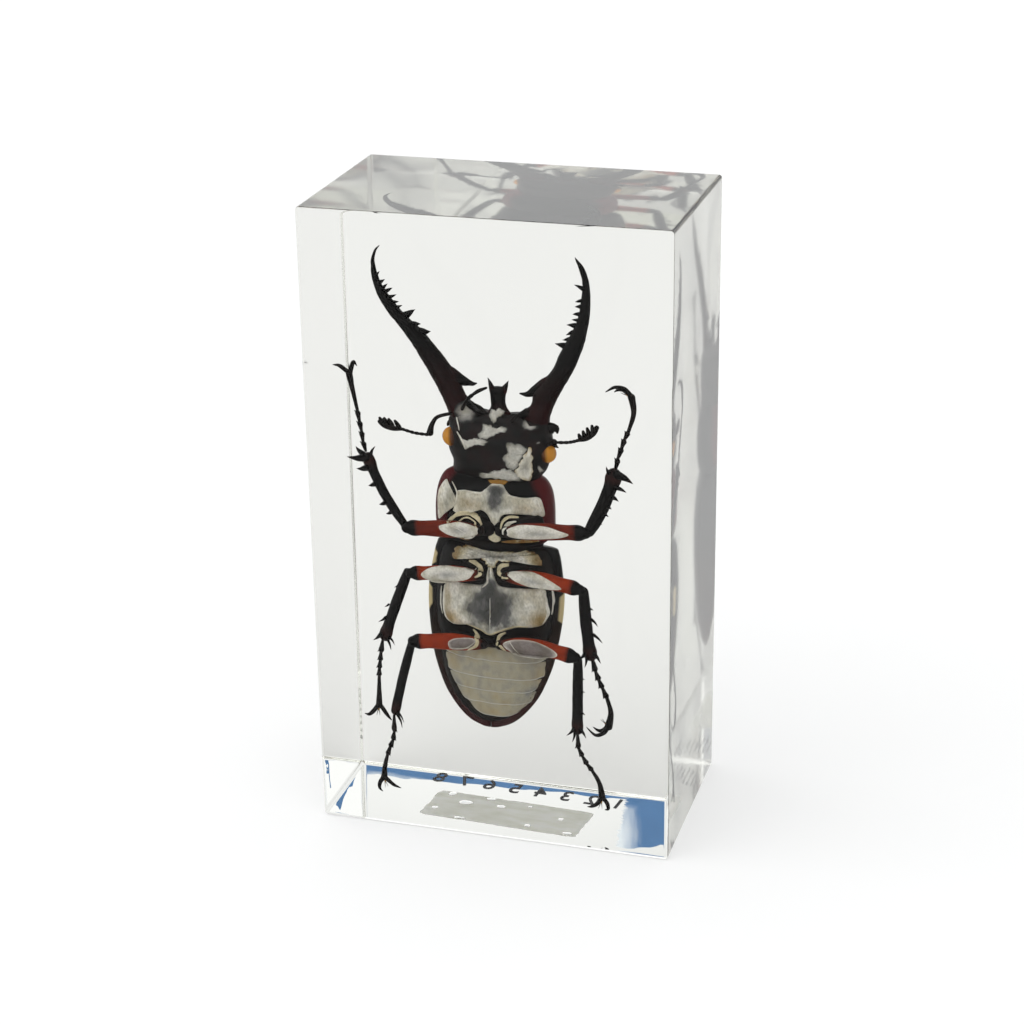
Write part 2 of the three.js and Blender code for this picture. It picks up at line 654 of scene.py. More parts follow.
def add_sky():
    """A soft white tent with bright places in it, and a dim opening where the camera stands."""
    world = bpy.data.worlds.new("studio_tent")
    world.use_nodes = True
    sky = Nodes(world.node_tree)
    directions = sky.node("TexCoord", {}, "Generated")
    lit = SKY_STRENGTH
    for way, edges, gain in BRIGHT_PLACES:
        lit = sky.math("ADD", sky.math("MULTIPLY", sky.facing(directions, way, edges), gain), lit)
    for way, edges, loss in DIM_PLACES:
        lost = sky.math("MULTIPLY", sky.facing(directions, way, edges), loss)
        lit = sky.math("MULTIPLY", lit, sky.math("SUBTRACT", 1.0, lost))
    background = world.node_tree.nodes["Background"]
    sky.feed(background.inputs["Color"], SKY_COLOUR)
    sky.feed(background.inputs["Strength"], lit)
    bpy.context.scene.world = world


CARD_DISTANCE = 900.0
CARD_COLOUR = (0.095, 0.205, 0.40)
CARD_PALE = (0.75, 0.80, 0.85)
# Corners of the blue card, (x, z) in its upright plane, and where its torn left edge is.
CARD_OUTLINE = (
    (-206, 505.9), (-250, 507.0), (-317, 509.3), (-363, 511.4), (-385, 512), (-385, 497), (-172, 497),
    (-172, 533.5), (-178, 534), (-184, 537), (-194, 539), (-205, 539),
)
CARD_TEAR = (504.2, 538.6)
CARD_TEAR_X = -199
CARD_TEAR_STEPS = 48
# Towards that edge the card is worn pale, but not in the band along its foot.
CARD_WORN = (-190, -203)
CARD_BAND = (508.5, 512.5)
# Two narrow strips beside the card, which show in the corner where the base meets the left side.
CARD_STRIPS = (
    (
        (309, 511), (313, 519), (318, 527.5), (320.6, 536), (321.4, 539.5), (324.6, 536.5), (324.6, 532.5),
        (321, 527), (314, 518),
    ),
    ((330.4, 502), (329.2, 502), (327.4, 525), (328.6, 525)),
)


def add_blue_card():
    """A blue studio card high behind the block, which shows only by reflection off the resin's base."""
    corners = list(CARD_OUTLINE)
    low, high = CARD_TEAR
    for k in range(CARD_TEAR_STEPS):
        z = high + (low - high) * k / (CARD_TEAR_STEPS - 1)
        torn = 3.0 * noise.noise((z * 0.9, 0, 0)) + (0.9 if k % 2 else -0.9)
        corners.append((CARD_TEAR_X - (z - low) * 0.18 + torn, z))
    points, faces = [], []
    for outline in (corners, *CARD_STRIPS):
        faces.append(tuple(range(len(points), len(points) + len(outline))))
        points += [Vector((x, CARD_DISTANCE, z)) * MM for x, z in outline]
    mesh = bpy.data.meshes.new("blue_card")
    mesh.from_pydata(points, [], faces)
    look = Look("blue_card")
    blue = look.ramp(look.clouds(60, 3), (0.3, tuple(c * 0.85 for c in CARD_COLOUR)), (0.7, CARD_COLOUR))
    across = look.node("SeparateXYZ", {0: look.node("TexCoord", {}, "Object")}, "X")
    up = across.node.outputs["Z"]
    streaked = look.wobbled(across, 260, 0.012, (1, 1, 0.25))
    worn = look.spread(streaked, 0, 1, CARD_WORN[0] * MM, CARD_WORN[1] * MM)
    above_band = look.spread(up, 0, 1, CARD_BAND[0] * MM, CARD_BAND[1] * MM)
    worn = look.times(worn, look.ramp(above_band, (0, (0, 0, 0)), (1, WHITE)))
    look.set(Base_Color=look.mix(worn, blue, CARD_PALE), Roughness=0.9, Specular_IOR_Level=0.1)
    card = add_object("blue_card", mesh, look.material)


def set_light_paths():
    """Light crosses the block's faces many times, and the tones stay as lit."""
    scene = bpy.context.scene
    scene.cycles.max_bounces = BOUNCES
    scene.cycles.transmission_bounces = BOUNCES
    scene.cycles.glossy_bounces = BOUNCES
    scene.cycles.diffuse_bounces = DIFFUSE_BOUNCES
    scene.cycles.sample_clamp_indirect = INDIRECT_CLAMP
    scene.cycles.use_denoising = True
    scene.view_settings.view_transform = "Standard"


add_floor()
add_sky()
add_blue_card()
set_light_paths()

# ---------------------------------------------------------------- resin block

RESIN_IOR = 1.56
RESIN_TINT = (0.86, 0.865, 0.79)
RESIN_DENSITY = 8.0
RESIN_CLARITY = 0.87
RESIN_FACE_TINT = 0.15
EDGE_RADIUS = 0.6
EDGE_STEPS = 8
FACE_STEPS = 40
SIDE_WAVE = 0.03
FACE_WAVE = 0.0015
CAST_WAVE_SIZE = 16.0
SIDE_HAZE = 0.13
TOP_DULLNESS = 0.5
# Waves fade out over this distance from an edge, so that edges stay straight.
WAVE_MARGIN = 4.0
# The left side is well polished up to the first height above its foot, and fully dull above the second.
LEFT_POLISH = (15.0, 35.0)
# How far inside the block's box a point still counts as on its face.
SKIN = 0.2
SAME_POINT = 1e-6


def resin_material():
    """Clear cast resin: plain transmission and index, and a faint tint that grows with depth.

    Some faces are polished less well than others, so what is seen through them is a little soft.
    """
    look = Look("clear_resin")
    clear = (RESIN_CLARITY, RESIN_CLARITY, RESIN_CLARITY * 0.99)
    look.set(Base_Color=clear, IOR=RESIN_IOR, Transmission_Weight=1, Specular_Tint=(RESIN_FACE_TINT,) * 3)
    look.set(Roughness=look.math("MULTIPLY", look.attribute("dull"), SIDE_HAZE))
    look.relief(look.clouds(160, 1), 0.04, 0.05)
    depth = look.node("VolumeAbsorption", {"Color": RESIN_TINT, "Density": RESIN_DENSITY}, "Volume")
    output = next(n for n in look.tree.nodes if n.type == "OUTPUT_MATERIAL")
    look.feed(output.inputs["Volume"], depth)
    return look.material


def edge_stops(half):
    """Places along one axis of the block: close together round the edges, wider over the face."""
    flat = half - EDGE_RADIUS
    face = [-flat * math.cos(math.pi * k / FACE_STEPS) for k in range(FACE_STEPS + 1)]
    edge = [EDGE_RADIUS * math.tan(math.pi / 4 * k / EDGE_STEPS) for k in range(1, EDGE_STEPS + 1)]
    return [-flat - e for e in reversed(edge)] + face + [flat + e for e in edge]


def polished(point, half):
    """Carries a point of the sharp box onto the rounded one, with a cast face's slow wave.

    The right side and the top wave most, the front, back and left only a little, and the base is flat.
    """
    core = Vector(max(-h + EDGE_RADIUS, min(h - EDGE_RADIUS, c)) for c, h in zip(point, half))
    out = (point - core).normalized()
    spare = sorted(h - EDGE_RADIUS - abs(c) for c, h in zip(core, half))
    if out.z < -0.5:
        size = 0
    elif abs(out.y) > 0.5 or out.x < -0.5:
        size = FACE_WAVE
    else:
        size = SIDE_WAVE
    wave = size * noise.noise(point / CAST_WAVE_SIZE) * min(1, spare[1] / WAVE_MARGIN)
    return core + out * (EDGE_RADIUS + min(wave, 0))


def dullness(place, half):
    """How dull a place is: fully on the right side and high on the left one, by half on the top."""
    if place.x > half.x - SKIN:
        return 1.0
    if place.x < SKIN - half.x:
        low, high = LEFT_POLISH
        return min(1, max(0, (place.z + half.z - low) / (high - low)))
    return TOP_DULLNESS if place.z > half.z - SKIN else 0.0


def add_block():
    """The block: a grid of points over each face of a sharp box, carried onto the polished one."""
    centre, half = (block_low + block_high) / 2, (block_high - block_low) / 2
    stops = [edge_stops(h) for h in half]
    form = bmesh.new()
    for axis in range(3):
        u, v = [a for a in range(3) if a != axis]
        for sign in (-1, 1):
            grid = []
            for a in stops[u]:
                row = []
                for b in stops[v]:
                    point = Vector((0, 0, 0))
                    point[axis], point[u], point[v] = sign * half[axis], a, b
                    row.append(form.verts.new((centre + polished(point, half)) * MM))
                grid.append(row)
            for r0, r1 in zip(grid, grid[1:]):
                for i in range(len(r0) - 1):
                    form.faces.new((r0[i], r0[i + 1], r1[i + 1], r1[i]))
    bmesh.ops.remove_doubles(form, verts=form.verts, dist=SAME_POINT)
    bmesh.ops.recalc_face_normals(form, faces=form.faces)
    mesh = bpy.data.meshes.new("cast_block")
    form.to_mesh(mesh)
    form.free()
    smooth(mesh)
    add_attribute(mesh, "dull", [dullness(v.co / MM - centre, half) for v in mesh.vertices])
    block = add_piece("cast_block", mesh, resin_material(), "clear_resin")
    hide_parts("resin_block")


add_block()

# ---------------------------------------------------------------- beetle: body

SLOT_DARK, SLOT_RED, SLOT_PALE, SLOT_WING = "dark_cuticle", "red_cuticle", "pale_cuticle", "wing_case"


# The beetle hangs a little askew: its hind body's middle at one height, and its shift for each step up.
AXIS_X, AXIS_Z = -1.45, 49.7
AXIS_LEAN = 0.0516


def axis_x(z):
    """The middle of the hind body at height z."""
    return AXIS_X - AXIS_LEAN * (AXIS_Z - z)


def hind_rows(rows):
    """Rows of (z, half width, depth to front, depth to back) about the hind body's axis."""
    return [(z, axis_x(z), half, front, back) for z, half, front, back in rows]


head = Form().hull([
    (61.6, -1.4, 4.6, 1.6, 1.8),
    (62.6, -1.4, 6.9, 3.0, 3.1),
    (63.6, -1.3, 7.7, 3.6, 3.8),
    (65.5, -0.75, 8.3, 3.9, 4.2),
    (67.6, -0.6, 9.0, 4.0, 4.3),
    (70.0, -0.6, 8.9, 4.0, 4.2),
    (71.8, -0.6, 8.8, 3.8, 3.8),
    (73.0, -0.8, 8.5, 3.3, 3.2),
    (73.8, -0.9, 7.4, 2.4, 2.2),
    (74.2, -0.9, 5.6, 1.3, 1.2),
], power=2.5).rough(0.3, 2.2)
pronotum = Form().hull([
    (50.7, -1.5, 5.8, 1.6, 2.6),
    (51.6, -1.5, 8.4, 3.2, 4.2),
    (53.4, -1.7, 10.2, 3.9, 5.1),
    (56.0, -1.75, 10.45, 4.2, 5.5),
    (59.0, -1.7, 10.35, 4.2, 5.4),
    (61.4, -1.6, 9.8, 3.9, 4.8),
    (63.0, -1.6, 8.8, 3.1, 4.1),
    (63.9, -1.6, 7.4, 1.8, 3.0),
], power=2.4).rough(0.1, 4.0, 3.0)
hind_thorax = Form().hull(hind_rows([
    (50.9, 5.6, 1.4, 2.0),
    (50.3, 8.8, 2.9, 2.8),
    (48.0, 10.0, 4.2, 3.2),
    (44.0, 10.4, 4.8, 3.4),
    (40.0, 10.5, 5.0, 3.6),
    (36.0, 10.2, 4.9, 3.6),
    (33.5, 9.4, 4.4, 3.4),
    (32.6, 7.0, 3.0, 2.4),
])).rough(0.12, 2.4, 5.0)
abdomen = Form().hull(hind_rows([
    (36.5, 7.0, 2.0, 2.0),
    (34.5, 9.3, 3.7, 3.2),
    (30.0, 9.3, 4.2, 3.4),
    (26.0, 8.6, 3.8, 3.0),
    (22.5, 7.1, 3.2, 2.2),
    (19.8, 5.2, 2.4, 1.4),
    (18.0, 3.2, 1.5, 0.8),
    (17.1, 1.4, 0.7, 0.4),
])).rough(0.05, 3.0, 7.0)
# The pronotum's red margin is at its sides and runs in along its front edge.
PRONOTUM_X, PRONOTUM_HALF = -1.7, 10.4
PRONOTUM_FRONT, FRONT_GAIN = 61, 0.06
pronotum.inner = [
    min(1, abs(p.x - PRONOTUM_X) / PRONOTUM_HALF + max(0, p.z - PRONOTUM_FRONT) * FRONT_GAIN)
    for p in pronotum.points
]
make_piece("head_capsule", head, mat_dorsal, SLOT_DARK)
make_piece("pronotum", pronotum, mat_pronotum, SLOT_RED)
make_piece("hind_thorax", hind_thorax, mat_black, SLOT_DARK)
make_piece("abdomen", abdomen, mat_black, SLOT_DARK)


# Rows of (z, half width, height of the back) for the wing cases.
WING_ROWS = (
    (50.75, 9.7, 2.0),
    (50.5, 10.5, 3.0),
    (49.9, 10.75, 3.9),
    (48.4, 11.15, 5.2),
    (44.6, 11.75, 6.3),
    (41.9, 12.05, 6.6),
    (38.3, 12.0, 6.6),
    (34.7, 11.65, 6.4),
    (32.3, 11.3, 6.1),
    (28.4, 10.6, 5.4),
    (23.7, 9.0, 4.1),
    (20.9, 7.5, 3.1),
    (18.3, 5.5, 2.0),
    (16.7, 3.6, 1.2),
    (15.8, 1.5, 0.5),
)
WING_SEAM = 0.03
# Stretches of height over which the left and the right wing case's edge is ochre, and how they fade out.
OCHRE_EDGE = {-1: ((48.6, 45.2), (42.2, 37.2)), 1: ((42.8, 36.8),)}
WING_FADE = 0.7
WING_Y = MID_Y + 0.2
WING_STEPS = 5
WING_COLUMNS = 24
WING_DOME = 2.6
SEAM_DIP = 0.3
LINE_HEIGHT, LINE_PITCH = 0.05, 4.2
# The turned-in lip: how far it drops, how far it reaches in, and the points across it.
WING_LIP = 0.7
WING_LIP_WIDTH = 1.7
WING_LIP_COLUMNS = 11
WING_UNDER = 4.2


def wing_ring(z, half, height):
    """One section of a wing case, as (distance from the seam's plane, y, z) points."""
    ring = []
    for i in range(WING_COLUMNS + 1):
        across = WING_SEAM + (half - WING_SEAM) * math.sin(i / WING_COLUMNS * math.pi / 2) ** 0.9
        drop = (across / half) ** WING_DOME
        dip = SEAM_DIP * math.exp(-(across - WING_SEAM) / SEAM_DIP)
        stripe = LINE_HEIGHT * math.sin(across * LINE_PITCH) * min(1, (half - across) / 2)
        ring.append((across, WING_Y + max(height * (1 - drop) ** 0.5 - dip + stripe, 0), z))
    for i in range(1, WING_LIP_COLUMNS + 1):
        turn = math.pi / 2 * i / WING_LIP_COLUMNS
        ring.append((half - WING_LIP_WIDTH * (1 - math.cos(turn)), WING_Y - WING_LIP * math.sin(turn), z))
    ring.append((half - WING_UNDER, MID_Y + 0.1, z))
    ring.append((WING_SEAM, MID_Y + 0.15, z))
    return [(max(x, WING_SEAM), y, z) for x, y, z in ring]


def wing_case(side):
    """One elytron: domed over the back, with a turned-in lip that shows as a rim round the underside."""
    rows = spline(WING_ROWS, WING_STEPS)
    sections = [wing_ring(*row) for row in rows]
    rings = [[(axis_x(z) + side * x, y, z) for x, y, z in ring] for ring in sections]
    top, tip = rows[0][0], rows[-1][0]
    form = Form().skin(rings, [(top - z) / (top - tip) for z, _, _ in rows])
    point = 0
    for (z, half, _), ring in zip(rows, sections):
        ochre = max(min(z - low, high - z, WING_FADE) / WING_FADE for high, low in OCHRE_EDGE[side])
        for x, y, _ in ring:
            form.inner[point] = x / half - 0.06 * max(0, y - WING_Y)
            form.stain[point] = max(0, ochre)
            point += 1
    return form


OCHRE = (0.66, 0.54, 0.30)


def wing_material():
    """Black-brown wing cases, a little browner behind, with an ochre strip along parts of the lip."""
    look = Look("wing_case")
    cloud = look.clouds(260, 4)
    back = look.ramp(
        look.wobbled(look.attribute("along"), 300, 0.15),
        (0.3, BLACK), (0.55, (0.030, 0.013, 0.006)), (0.78, (0.030, 0.009, 0.007)),
        (1.0, (0.060, 0.009, 0.010)),
    )
    back = look.times(back, look.ramp(cloud, (0.3, (0.55, 0.55, 0.55)), (0.7, WHITE)))
    reach = look.math("MULTIPLY", look.attribute("stain"), 0.075)
    edge = look.math("ADD", look.wobbled(look.attribute("inner"), 420, 0.05), reach)
    colour = look.mix(look.spread(edge, 0, 1, 1.0, 1.03), back, OCHRE)
    look.set(Base_Color=colour, Roughness=look.spread(cloud, 0.25, 0.4), Specular_IOR_Level=0.2)
    look.relief(look.cells(1900), 0.35, PITS)
    return look.material


mat_wing = wing_material()
wing_left, wing_right = wing_case(-1), wing_case(1)
make_piece("elytron_left", wing_left, mat_wing, SLOT_WING)
make_piece("elytron_right", wing_right, mat_wing, SLOT_WING)
scutellum = Form().tube(
    [(-1.5, MID_Y + 4.2, 51.0), (-1.5, MID_Y + 5.3, 49.6), (-1.5, MID_Y + 5.9, 47.6)],
    [1.7, 1.4, 0.2], flat=0.3, facing=BACK,
)
make_piece("scutellum", scutellum, mat_dorsal, SLOT_DARK)

# ---------------------------------------------------------------- beetle: underside plates

head_skin = head.surface()
pronotum_skin = pronotum.surface()
thorax_skin = hind_thorax.surface()
abdomen_skin = abdomen.surface()


def spot(x, z, wide, high):
    """A tone that is 1 at a place and fades away from it over the given reaches."""
    return lambda px, pz: math.exp(-((px - x) / wide) ** 2 - ((pz - z) / high) ** 2)


def spots(*tones):
    """The sum of (weight, tone) pairs, at most 1."""
    return lambda px, pz: min(1.0, sum(weight * tone(px, pz) for weight, tone in tones))


# On these silver plates the tone spots place painted grey reflection; the stain spots place tan.
prosternum = patch([
    (-8.6, 55.6), (-8.2, 58.2), (-7.6, 60.4), (-5.6, 60.5), (-3.9, 60.5), (-2.7, 61.2), (-1.6, 62.2),
    (0.1, 62.3), (0.9, 61.3), (1.8, 60.5), (4.2, 60.2), (6.4, 60.3), (7.1, 58.8), (7.2, 57.0), (5.4, 57.2),
    (1.6, 57.2), (0.0, 56.6), (-0.6, 54.6), (-1.4, 54.6), (-2.4, 56.8), (-4.0, 57.5), (-6.4, 57.0),
], [pronotum_skin], 0.5, sink=0.3,
    tone=spots((1.0, spot(-0.9, 59.3, 1.7, 1.9)), (0.9, spot(-0.8, 61.3, 1.6, 0.8))),
    stain=spots((0.5, spot(-5.5, 58.4, 2.6, 1.2)), (0.5, spot(4.2, 58.4, 2.2, 1.0))),
)
make_piece("prosternum", prosternum, mat_plate, SLOT_PALE)
metasternum = patch([
    (-10.1, 43.4), (-6.0, 43.8), (-3.4, 44.0), (-2.4, 45.6), (-1.9, 47.6), (-1.2, 45.6), (-0.5, 44.2),
    (1.0, 43.9), (4.0, 43.9), (7.1, 43.8), (7.5, 42.1), (7.8, 39.4), (7.0, 37.3), (5.0, 36.7), (2.1, 36.6),
    (-0.5, 35.5), (-2.2, 34.7), (-3.9, 35.5), (-5.7, 36.2), (-8.7, 35.9), (-10.3, 36.9), (-10.8, 39.4),
], [thorax_skin], 0.55, sink=0.3, crisp=10,
    tone=spots((1.3, spot(-1.9, 40.0, 4.3, 4.3)), (0.5, spot(-1.9, 44.2, 0.9, 1.6))),
    stain=spots(
        (0.9, spot(-9.6, 36.9, 2.4, 1.6)), (0.9, spot(6.7, 38.0, 1.9, 2.2)),
        (0.45, spot(-9.9, 41.0, 0.9, 2.8)),
    ),
)
# The groove down the metasternum's middle: its place, width, depth and top.
GROOVE_X, GROOVE_WIDTH, GROOVE_DEPTH, GROOVE_TOP = -1.95, 0.14, 0.25, 42.5
for index, point in enumerate(metasternum.points):
    if point.z < GROOVE_TOP:
        groove = GROOVE_DEPTH * math.exp(-((point.x - GROOVE_X) / GROOVE_WIDTH) ** 2)
        metasternum.points[index] = point + BACK * groove
make_piece("metasternum", metasternum, mat_plate, SLOT_PALE)
mesosternum = patch([
    (-9.0, 48.4), (-8.7, 49.3), (-7.7, 49.9), (-6.3, 50.5), (-4.9, 50.3), (-3.4, 50.5), (-1.2, 50.1),
    (0.9, 50.2), (2.4, 50.0), (4.1, 50.3), (5.9, 49.9), (6.8, 48.3), (6.2, 48.2), (5.6, 49.0), (4.2, 49.1),
    (2.6, 48.7), (0.6, 48.6), (-0.8, 48.1), (-1.3, 47.2), (-2.3, 47.2), (-3.0, 48.1), (-4.6, 49.0),
    (-6.4, 49.4), (-7.6, 49.1), (-8.4, 48.0),
], [thorax_skin], 0.4, sink=0.3, ragged=0.5,
    stain=spots((0.9, spot(-8.4, 48.9, 1.1, 1.1)), (0.9, spot(6.0, 49.0, 1.1, 1.1))),
)
make_piece("mesosternum", mesosternum, mat_tee, SLOT_PALE)
process = patch(
    [(-1.2, 54.2), (-2.4, 52.5), (-1.3, 51.6), (-0.2, 52.3)],
    [pronotum_skin, thorax_skin], 0.5, sink=0.4,
)
make_piece("prosternal_process", process, mat_cream, SLOT_PALE)
neck = Form().tube([(-4.6, -1.2, 62.3), (-0.8, -2.6, 62.3), (3.0, -1.2, 62.4)], [0.7, 0.8, 0.7], flat=0.8)
make_piece("neck_membrane", neck, mat_amber, SLOT_PALE)
waist = Form().tube(
    [(-8.6, 0.4, 51.1), (-5.0, -1.8, 50.9), (-1.5, -2.4, 50.8), (2.0, -1.8, 51.0), (5.8, 0.4, 51.4)],
    [0.9, 1.1, 1.2, 1.1, 0.9], flat=0.8,
)
make_piece("waist_membrane", waist, mat_black, SLOT_DARK)

# The five sternites: the height of each one's rear margin, and its reach left and right at its two margins.
STERNITES = (
    (29.9, (-10.8, 7.0), (-10.7, 6.9)),
    (26.5, (-10.2, 6.6), (-10.7, 7.0)),
    (23.9, (-9.1, 5.2), (-10.0, 6.2)),
    (21.4, (-7.7, 4.3), (-8.9, 5.2)),
    (18.7, (-6.0, 2.6), (-7.3, 4.0)),
)
STERNITE_TOP = 32.4
STERNITE_LAP = 0.15
STERNITE_THICKNESS = 0.3
STERNITE_ROWS, STERNITE_COLUMNS = 8, 48
BELLY_Y = MID_Y - 0.6
belly_stain = spots(
    (0.5, spot(-9.5, 30.0, 2.0, 4.0)), (0.5, spot(5.8, 27.0, 1.8, 4.0)), (0.35, spot(-2, 20, 3, 1.5)),
)


def sternite_place(low, high, low_reach, high_reach, last, t, w):
    """The (x, z) place on a plate at a share t of the way across and w of the way up."""
    left = low_reach[0] * (1 - w) + high_reach[0] * w
    right = low_reach[1] * (1 - w) + high_reach[1] * w
    nibble = 0.22 * noise.noise((t * 2, w * 3, low))
    x = left + (right - left) * t + nibble * (2 * t - 1) ** 4
    bow = 0.2 * math.sin(math.pi * t) + 0.12 * noise.noise((x * 0.7, low, 3.0))
    if last:
        tuck = 1.5 * (2 * t - 1) ** 4 * (1 - w)
    else:
        tuck = 0.35 * (2 * t - 1) ** 10 * (1 - 2 * w)
    return x, low + (high - low) * w - bow + tuck - 0.02 * x


def sternite(low, high, low_reach, high_reach, last):
    """One belly plate: thickest along its rear margin, which laps over the next plate."""
    form = Form()
    outer, inner = [], []
    for j in range(STERNITE_ROWS + 1):
        w = j / STERNITE_ROWS
        outer_line, inner_line = [], []
        for i in range(STERNITE_COLUMNS + 1):
            t = i / STERNITE_COLUMNS
            x, z = sternite_place(low, high, low_reach, high_reach, last, t, w)
            y = front_y([abdomen_skin], x, z, BELLY_Y)
            proud = (0.12 + 0.30 * (1 - w) ** 1.5) * (1 - (2 * t - 1) ** 12) ** 0.5
            outer_line.append(form.put((x, y - proud, z), w, 0, belly_stain(x, z)))
            inner_line.append(form.put((x, y + STERNITE_THICKNESS, z), w))
        outer.append(outer_line)
        inner.append(inner_line)
    sheets = [outer, inner, (outer[0], inner[0]), (outer[-1], inner[-1])]
    sheets += [([row[k] for row in outer], [row[k] for row in inner]) for k in (0, -1)]
    for sheet in sheets:
        form.stitch(sheet, closed=False)
    return form


# The pale line on each plate's raised rear margin is a paler margin with a painted edge highlight.
STERNITE_LINE = (0.66, 0.65, 0.60)


def sternite_material():
    """Beige belly plate, clouded with grey and streaked, with a pale line along its rear margin."""
    look = Look("sternite")
    body = look.ramp(look.clouds(300, 6), (0.30, BEIGE_GREY), (0.5, BEIGE), (0.72, (0.45, 0.375, 0.235)))
    dirt = look.spread(look.wobbled(look.attribute("stain"), 500, 0.5), 0, 0.8, 0.2, 0.9)
    body = look.mix(dirt, body, TAN)
    streaks = look.clouds(800, 5, (1.2, 1, 0.6))
    body = look.times(body, look.ramp(streaks, (0.3, (0.84, 0.84, 0.86)), (0.6, WHITE)))
    # Pale rear-margin line: partly the margin's own colour, partly a painted edge highlight.
    line = look.ramp(look.attribute("along"), (0.0, WHITE), (0.025, WHITE), (0.07, (0, 0, 0)))
    colour = look.mix(line, body, STERNITE_LINE)
    look.set(Base_Color=colour, Roughness=look.spread(streaks, 0.4, 0.6), Specular_IOR_Level=0.25)
    look.relief(streaks, 0.5, GRAIN_DEPTH)
    return look.material


mat_sternite = sternite_material()
upper = STERNITE_TOP
for number, (low, low_reach, high_reach) in enumerate(STERNITES, start=1):
    plate = sternite(low, upper, low_reach, high_reach, number == len(STERNITES))
    make_piece(f"sternite_{number}", plate, mat_sternite, SLOT_PALE)
    upper = low + STERNITE_LAP

# ---------------------------------------------------------------- beetle: jaws, feelers, eyes

JAW_Y = MID_Y - 1.0
LIP_Y = MID_Y - 1.4


def level(points, y):
    """Points (x, z), with or without more numbers, all at the depth y."""
    return [(p[0], y, p[1]) for p in points]


def mandible(rows, teeth, hook):
    """A jaw: a flattened bowed blade, small teeth along its inner edge, and a large hook near its base."""
    form = Form().blade(rows, JAW_Y)
    first = len(form.points)
    for base, tip, radius in teeth:
        form.spike(at(base, JAW_Y), at(tip, JAW_Y - 0.2), radius, flat=0.9)
    form.along[first:] = [1.0] * (len(form.points) - first)
    form.tube(level(hook, JAW_Y + 0.1), [r for _, _, r in hook], flat=0.75, sides=14, steps=5)
    return form.rough(0.09, 0.9, 2.0)


# Each tooth is (base, tip, radius at the base) with (x, z) points on the jaw's inner edge.
left_jaw = mandible(
    [(-9.0, 71.6, -4.4, 71.6, 0.9), (-9.6, 74.0, -4.3, 74.4, 0.4), (-10.7, 76.8, -6.3, 77.0, 0.1),
     (-12.0, 79.4, -7.5, 79.7, 0.0), (-13.7, 82.3, -9.4, 82.6, 0.0), (-15.6, 85.4, -11.3, 84.9, 0.0),
     (-17.7, 88.2, -13.4, 87.3, 0.0), (-19.5, 90.3, -15.9, 89.5, 0.0), (-21.1, 92.9, -18.3, 92.0, 0.1),
     (-22.0, 95.4, -20.5, 95.1, 0.2), (-22.3, 97.6, -21.4, 97.6, 0.4), (-22.2, 99.4, -21.6, 99.2, 0.6),
     (-21.5, 100.8, -21.2, 100.6, 0.8), (-20.8, 101.5, -20.75, 101.4, 0.9)],
    [((-21.3, 96.3), (-20.7, 97.2), 0.32), ((-20.8, 95.2), (-19.8, 95.9), 0.42),
     ((-20.2, 94.4), (-19.3, 95.1), 0.34), ((-19.8, 93.8), (-18.5, 94.5), 0.44),
     ((-19.1, 92.9), (-17.9, 93.4), 0.4), ((-18.6, 92.0), (-17.5, 92.3), 0.38),
     ((-18.0, 91.2), (-16.9, 91.6), 0.36), ((-16.7, 89.7), (-14.7, 91.1), 0.8),
     ((-15.2, 88.5), (-13.8, 88.7), 0.55), ((-14.2, 87.2), (-12.1, 87.5), 0.85)],
    [(-9.8, 80.4, 1.7), (-8.3, 79.9, 1.35), (-6.6, 79.3, 0.85), (-5.3, 79.0, 0.45), (-4.4, 79.1, 0.12)],
)
right_jaw = mandible(
    [(7.7, 71.4, 2.4, 71.4, 0.9), (8.1, 74.2, 3.3, 74.5, 0.4), (8.9, 76.5, 4.9, 76.3, 0.1),
     (9.9, 78.6, 5.4, 78.4, 0.0), (11.9, 82.2, 8.4, 82.4, 0.0), (13.2, 85.2, 9.7, 85.2, 0.0),
     (14.1, 87.9, 11.2, 88.0, 0.0), (14.8, 91.6, 12.8, 91.4, 0.1), (14.95, 95.5, 13.4, 94.8, 0.2),
     (14.5, 98.3, 13.6, 97.4, 0.4), (13.7, 100.2, 13.1, 99.3, 0.6), (12.3, 101.6, 12.25, 101.5, 0.9)],
    [((13.8, 96.6), (12.3, 97.2), 0.45), ((13.6, 94.6), (12.5, 94.4), 0.38),
     ((13.3, 93.6), (12.4, 93.5), 0.36), ((13.1, 92.3), (12.1, 92.2), 0.38),
     ((12.8, 91.3), (11.9, 91.3), 0.34), ((12.4, 90.3), (11.0, 90.4), 0.44),
     ((12.0, 89.2), (10.9, 88.6), 0.4), ((11.6, 88.0), (10.3, 87.8), 0.42),
     ((11.3, 86.6), (9.1, 87.1), 0.75)],
    [(8.4, 79.9, 1.7), (6.9, 79.3, 1.35), (5.4, 78.5, 0.85), (4.2, 77.9, 0.5), (3.0, 77.9, 0.12)],
)
make_piece("mandible_left", left_jaw, mat_mandible, SLOT_DARK)
make_piece("mandible_right", right_jaw, mat_mandible, SLOT_DARK)

